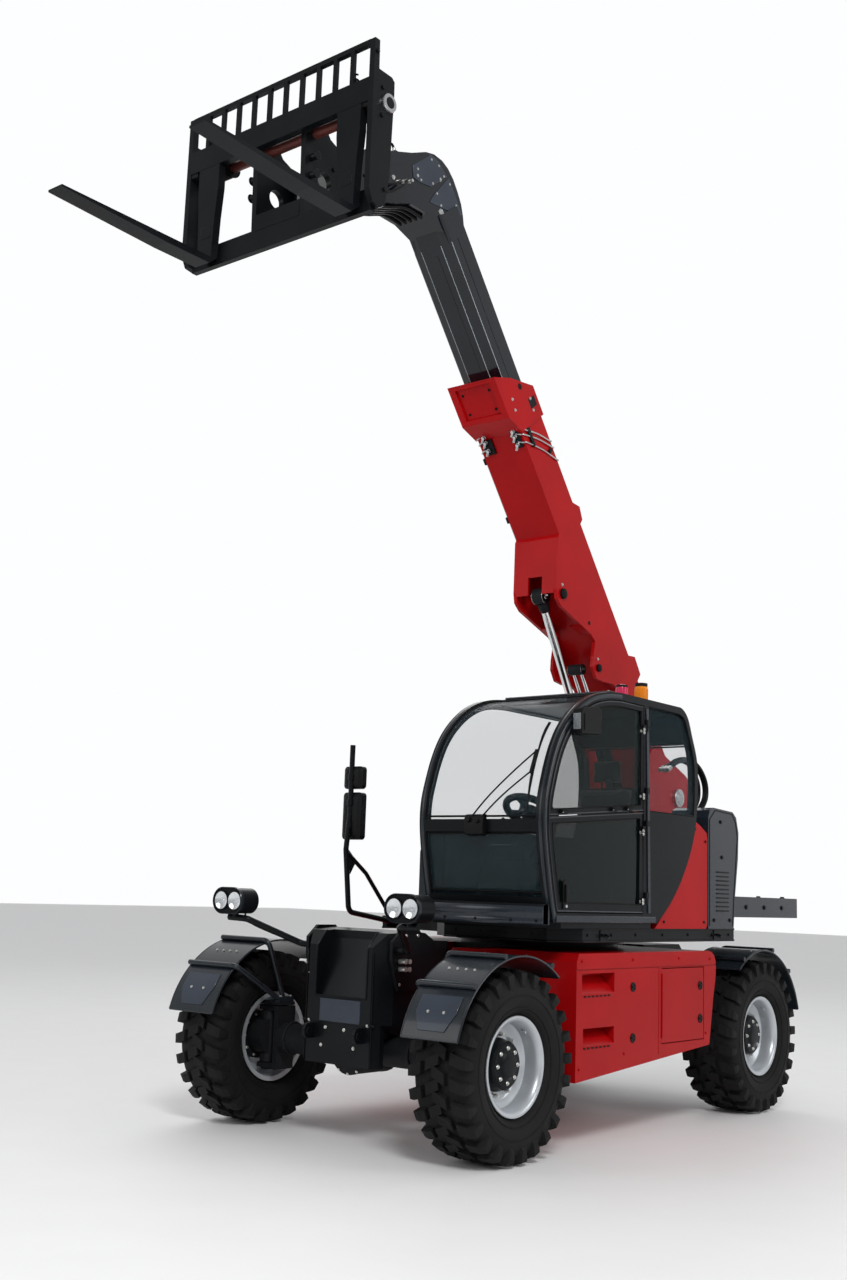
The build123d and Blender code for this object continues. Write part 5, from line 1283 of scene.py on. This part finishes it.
# steel pipes on clamps along the lower right corner of the boom
pp = Piece("boom_pipes", "steel", "boom", "bright_steel")
pc = Piece("boom_pipe_clamps", "plastic", "boom", "black_plastic", bevel=0.002)
for k, n_ in enumerate((-.150, -.112, -.074)):
    pp.tube([B(.15, n_, -.398), B(3.30, n_, -.398)], .0095, 12, bend=False)
for s_ in (.30, .90, 1.50, 2.10, 2.70, 3.20):
    pc.mesh([B(s_ + a, b, c_) for c_ in (-.3795, -.4125) for a, b in ((0, -.172), (.05, -.172), (.05, -.052), (0, -.052))],
            [(0, 1, 2, 3), (7, 6, 5, 4), (0, 4, 5, 1), (1, 5, 6, 2), (2, 6, 7, 3), (3, 7, 4, 0)])
pp.done()
pc.done()
bp_.mesh([B(s_, n_, x) for x in (.0355, .0200) for s_, n_ in ((3.50, .02), (3.58, .02), (3.58, .115), (3.50, .115))],
         [(0, 1, 2, 3), (7, 6, 5, 4), (0, 4, 5, 1), (1, 5, 6, 2), (2, 6, 7, 3), (3, 7, 4, 0)])
bp_.mesh([B(s_, n_, x) for x in (-.3955, -.3800) for s_, n_ in ((3.50, .02), (3.58, .02), (3.58, .115), (3.50, .115))],
         [(0, 1, 2, 3), (7, 6, 5, 4), (0, 4, 5, 1), (1, 5, 6, 2), (2, 6, 7, 3), (3, 7, 4, 0)])
bp_.done()
# three pipes that cross the left face under the collar, with their fittings
bf = Piece("boom_cross_pipes", "steel", "boom", "bright_steel")
for s0, s1, dn in ((3.430, 3.197, 0), (3.385, 3.145, 0), (3.320, 3.041, 0)):
    bf.tube([B(s0 + .02, -.196, -.030), B(s0 + .005, -.194, .012), B(s0 - .01, -.170, .0285), B(s0 + (s1 - s0) * .5, -.010, .0285), B(s1, .120, .0285), B(s1 - .004, .142, .016), B(s1 - .005, .1445, -.03)], .0060, 10)
    for x in (-.030, -.300):
        bf.cyl(B(s0, -.186, x), B(s0, -.214, x), .017, 6)
        bf.cyl(B(s0, -.214, x), B(s0, -.232, x), .012, 14)
        bf.cyl(B(s0, -.222, x), B(s0 - .035, -.226, x - .02), .010, 12)
    bf.tube([B(s0, -.196, -.300), B(s0, -.200, -.350), B(s0 - .02, -.186, -.386), B(s0 - .03, -.120, -.3885), B(s0 - .03, -.04, -.3885)], .0060, 10)
bf.done()
bfc = Piece("boom_valve_blocks", "black", "boom", "black_steel", bevel=0.003)


def boom_box(piece, s0, s1, n0, n1, x0, x1):
    piece.mesh([B(a, b, c_) for c_ in (x0, x1) for a, b in ((s0, n0), (s1, n0), (s1, n1), (s0, n1))],
               [(0, 1, 2, 3), (7, 6, 5, 4), (0, 4, 5, 1), (1, 5, 6, 2), (2, 6, 7, 3), (3, 7, 4, 0)])


boom_box(bfc, 3.280, 3.400, -.202, -.184, -.345, -.255)
boom_box(bfc, 3.290, 3.440, -.200, -.184, -.060, .000)
boom_box(bfc, 3.120, 3.150, .060, .100, .0195, .036)
boom_box(bfc, 3.250, 3.400, -.120, -.085, .0195, .036)
bfc.done()
wsb = Piece("boom_weld_seams", "red", "boom", "red_paint")
for x in (.0155, -.3755):
    wsb.tube([B(1.20, -.1855, x), B(1.72, -.1855, x), B(2.20, -.1855, x), B(2.56, -.1855, x)], .0045, 6, bend=False)
for s_ in (3.405,):
    wsb.tube([B(s_, .1355, .010), B(s_, .1355, -.370)], .005, 6, bend=False)
wsb.done()
rail = Piece("inner_boom_rails", "gloss", "extension", "black_steel", bevel=0.001)
boom_box(rail, 3.10, 4.86, -.045, .045, -.0105, -.0075)
boom_box(rail, 3.10, 4.86, -.045, .045, -.3525, -.3495)
boom_box(rail, 3.10, 4.80, -.1625, -.1595, -.215, -.145)
rail.done()
# bright grey beads along the ridges of the inner boom: a painted highlight standing in for the light caught on the
# bevelled edges
bead = Piece("inner_boom_edge_highlights", "post", "extension", "bright_steel")
for x, n_ in ((-.0900, -.1600), (-.2700, -.1600), (-.0105, -.1300), (-.3495, -.1300)):
    bead.tube([B(3.10, n_, x), B(3.70, n_, x), B(4.30, n_, x), B(4.86, n_, x)], .0028, 8, bend=False)
bead.done()

# ------------------------------------------------------------------ boom head
hd = Piece("boom_head_fittings", "zinc", "extension", "bright_steel")
hp = Piece("boom_head_blocks", "patch", "extension", "black_steel", bevel=0.004)
hh = Piece("boom_head_hoses", "hose", "extension", "black_plastic")
for x, d in ((-.030, 1), (-.330, -1)):
    c = V(x, -.580, 5.990)
    hp.lathe(c, X * d, [(-.002, .092), (.006, .092), (.010, .086), (.010, .052)], seg=48)
    ringbolts(hd, c + X * d * .007, X * d, .073, 6, .008, .007, .3)
    for y, z in ((-.30, 6.13), (-.05, 6.26), (.20, 6.38), (.45, 6.46)):
        hd.bolt(V(x, y, z), X * d, .012, .010)
hp.box(-.28, -.08, .02, .10, 6.490, 6.512)
for x in (-.23, -.18, -.13):
    hd.cyl(V(x, .06, 6.512), V(x, .06, 6.540), .016, 6)
    hd.cyl(V(x, .06, 6.540), V(x, .06, 6.556), .012, 16)
    hh.tube([V(x, .06, 6.552), V(x, .03, 6.575), V(x, -.05, 6.555), V(x, -.13, 6.480), V(x, -.17, 6.420)], .009, 10)
# folded covers on the head's cheeks, with their bolts
for x, d in ((-.030, 1), (-.330, -1)):
    hp.prism([(.146, 6.437), (.340, 6.600), (.425, 6.585), (.525, 6.515), (.355, 6.362), (.227, 6.343), (.158, 6.349)], x - d * .001, x + d * .006)
    hp.prism([(.550, 6.515), (.690, 6.330), (.715, 6.300), (.637, 6.270), (.345, 6.245), (.392, 6.327)], x - d * .001, x + d * .005)
    for y, z in ((.20, 6.43), (.345, 6.565), (.430, 6.555), (.490, 6.500), (.370, 6.395), (.24, 6.365), (.42, 6.340), (.56, 6.470), (.64, 6.340), (.47, 6.270)):
        hd.bolt(V(x + d * .005, y, z), X * d, .007, .005)
    for k in range(3):
        c = V(x, -.02 + .065 * k, 6.235 + .030 * k)
        hd.cyl(c, c + X * d * .016, .015, 6)
        hd.cyl(c + X * d * .016, c + X * d * .040, .011, 16)
    hh.tube([V(x + d * .040, -.02, 6.235), V(x + d * .060, -.06, 6.20), V(x + d * .055, -.16, 6.15), V(x + d * .030, -.26, 6.14), V(x + d * .008, -.34, 6.15)], .009, 10)
    hh.tube([V(x + d * .040, .045, 6.265), V(x + d * .070, .00, 6.21), V(x + d * .062, -.12, 6.11), V(x + d * .035, -.22, 6.09), V(x + d * .008, -.30, 6.10)], .009, 10)
    # bearing plug at the top of the inner boom
    c = B(5.060, -.120, x)
for k in range(5):
    x = -.085 - .0475 * k
    hh.tube([V(x, .330, 6.137), V(x, .150, 6.136), V(x, -.020, 6.072), V(x, -.190, 6.006), V(x, -.340, 5.922), V(x, -.470, 5.850)], .0125, 10)
hh.done()
hp.done()
hd.done()
plug = Piece("head_bearing_plugs", "steel", "extension", "bright_steel")
for x, d in ((-.030, 1), (-.330, -1)):
    c = B(5.073, -.100, x)
    plug.lathe(c, X * d, [(-.002, .026), (.004, .026), (.006, .023), (.003, .019), (.003, .0001)], seg=32)
plug.done()
# ------------------------------------------------------------------ carriage and forks
ring = Piece("shaft_end_ring", "steel", "carriage", "bright_steel")
ring.lathe(V(.647, -.900, 6.156), X, [(-.002, .033), (-.002, .058), (.014, .060), (.022, .056), (.022, .036), (.010, .034), (.010, .0001)], seg=48)
ring.done()
wr = Piece("worn_shaft", "worn", "carriage", "bright_steel")
wr.lathe(V(-.955, -.900, 6.156), X, [(0, .0323), (.001, .0330), (1.561, .0330), (1.562, .0323)], seg=40)
wr.done()
cr = Piece("carriage_bolts", "black", "carriage", "bright_steel")
for x, d in ((.647, 1), (-.995, -1)):
    for y, z in ((-.95, 6.24), (-.95, 6.06), (-.90, 5.60), (-1.01, 6.45)):
        cr.bolt(V(x, y, z), X * d, .012, .010)
for x, d in ((.052, 1), (-.412, -1)):
    for y, z in ((-.72, 5.99), (-.62, 5.90), (-.88, 6.22), (-.86, 5.55)):
        cr.bolt(V(x, y, z), X * d, .013, .010)
cr.done()
cg = Piece("carriage_gussets", "black", "carriage", "black_steel", bevel=0.003)
for x in (-.412, .012):
    # hooks and rollers on the coupler's cheeks
    d = -1 if x < -.2 else 1
    x_f = x if d < 0 else .052
    for z in (5.98, 5.86):
        cg.cyl(V(x_f, -.930, z), V(x_f + d * .055, -.930, z), .022, 20)
        cg.cyl(V(x_f + d * .055, -.930, z), V(x_f + d * .062, -.930, z), .030, 20)
for x in (-.765, .464):
    # fork locks on the top bar
    cg.box(x - .028, x + .028, -1.020, -.992, 6.285, 6.325)
    cg.cyl(V(x, -1.006, 6.325), V(x, -1.006, 6.362), .009, 14)
    cg.tube([V(x - .028, -1.006, 6.352), V(x, -1.006, 6.362), V(x + .028, -1.006, 6.352)], .006, 10)
for xx in (CADX for CADX in (-.955, .607)):
    s_ = 1 if xx < 0 else -1
    cg.prism([(-1.030, 6.10), (-.990, 6.10), (-.990, 6.13), (-1.030, 6.13)], xx, xx + s_ * .06)
cg.done()
fb = Piece("fork_details", "black", "carriage", "black_steel", bevel=0.002)
for x in (-.765, .464):
    fb.box(x - .045, x + .045, -1.0445, -1.0400, 5.62, 5.70)
    for dx in (-.066, .066):
        fb.lathe(V(x + dx, -.900, 6.156), X * (1 if dx > 0 else -1), [(-.002, .0335), (-.002, .064), (.008, .064), (.008, .0335)], seg=36)
fb.done()
cp = Piece("coupler_pin_caps", "steel", "level_link", "bright_steel")
for x, d in ((.060, 1), (-.420, -1)):
    c = V(x, -.580, 5.990)
    cp.lathe(c, X * d, [(-.004, .060), (.006, .060), (.010, .054), (.010, .0001)], seg=40)
cp.done()

bpy.context.view_layer.update()
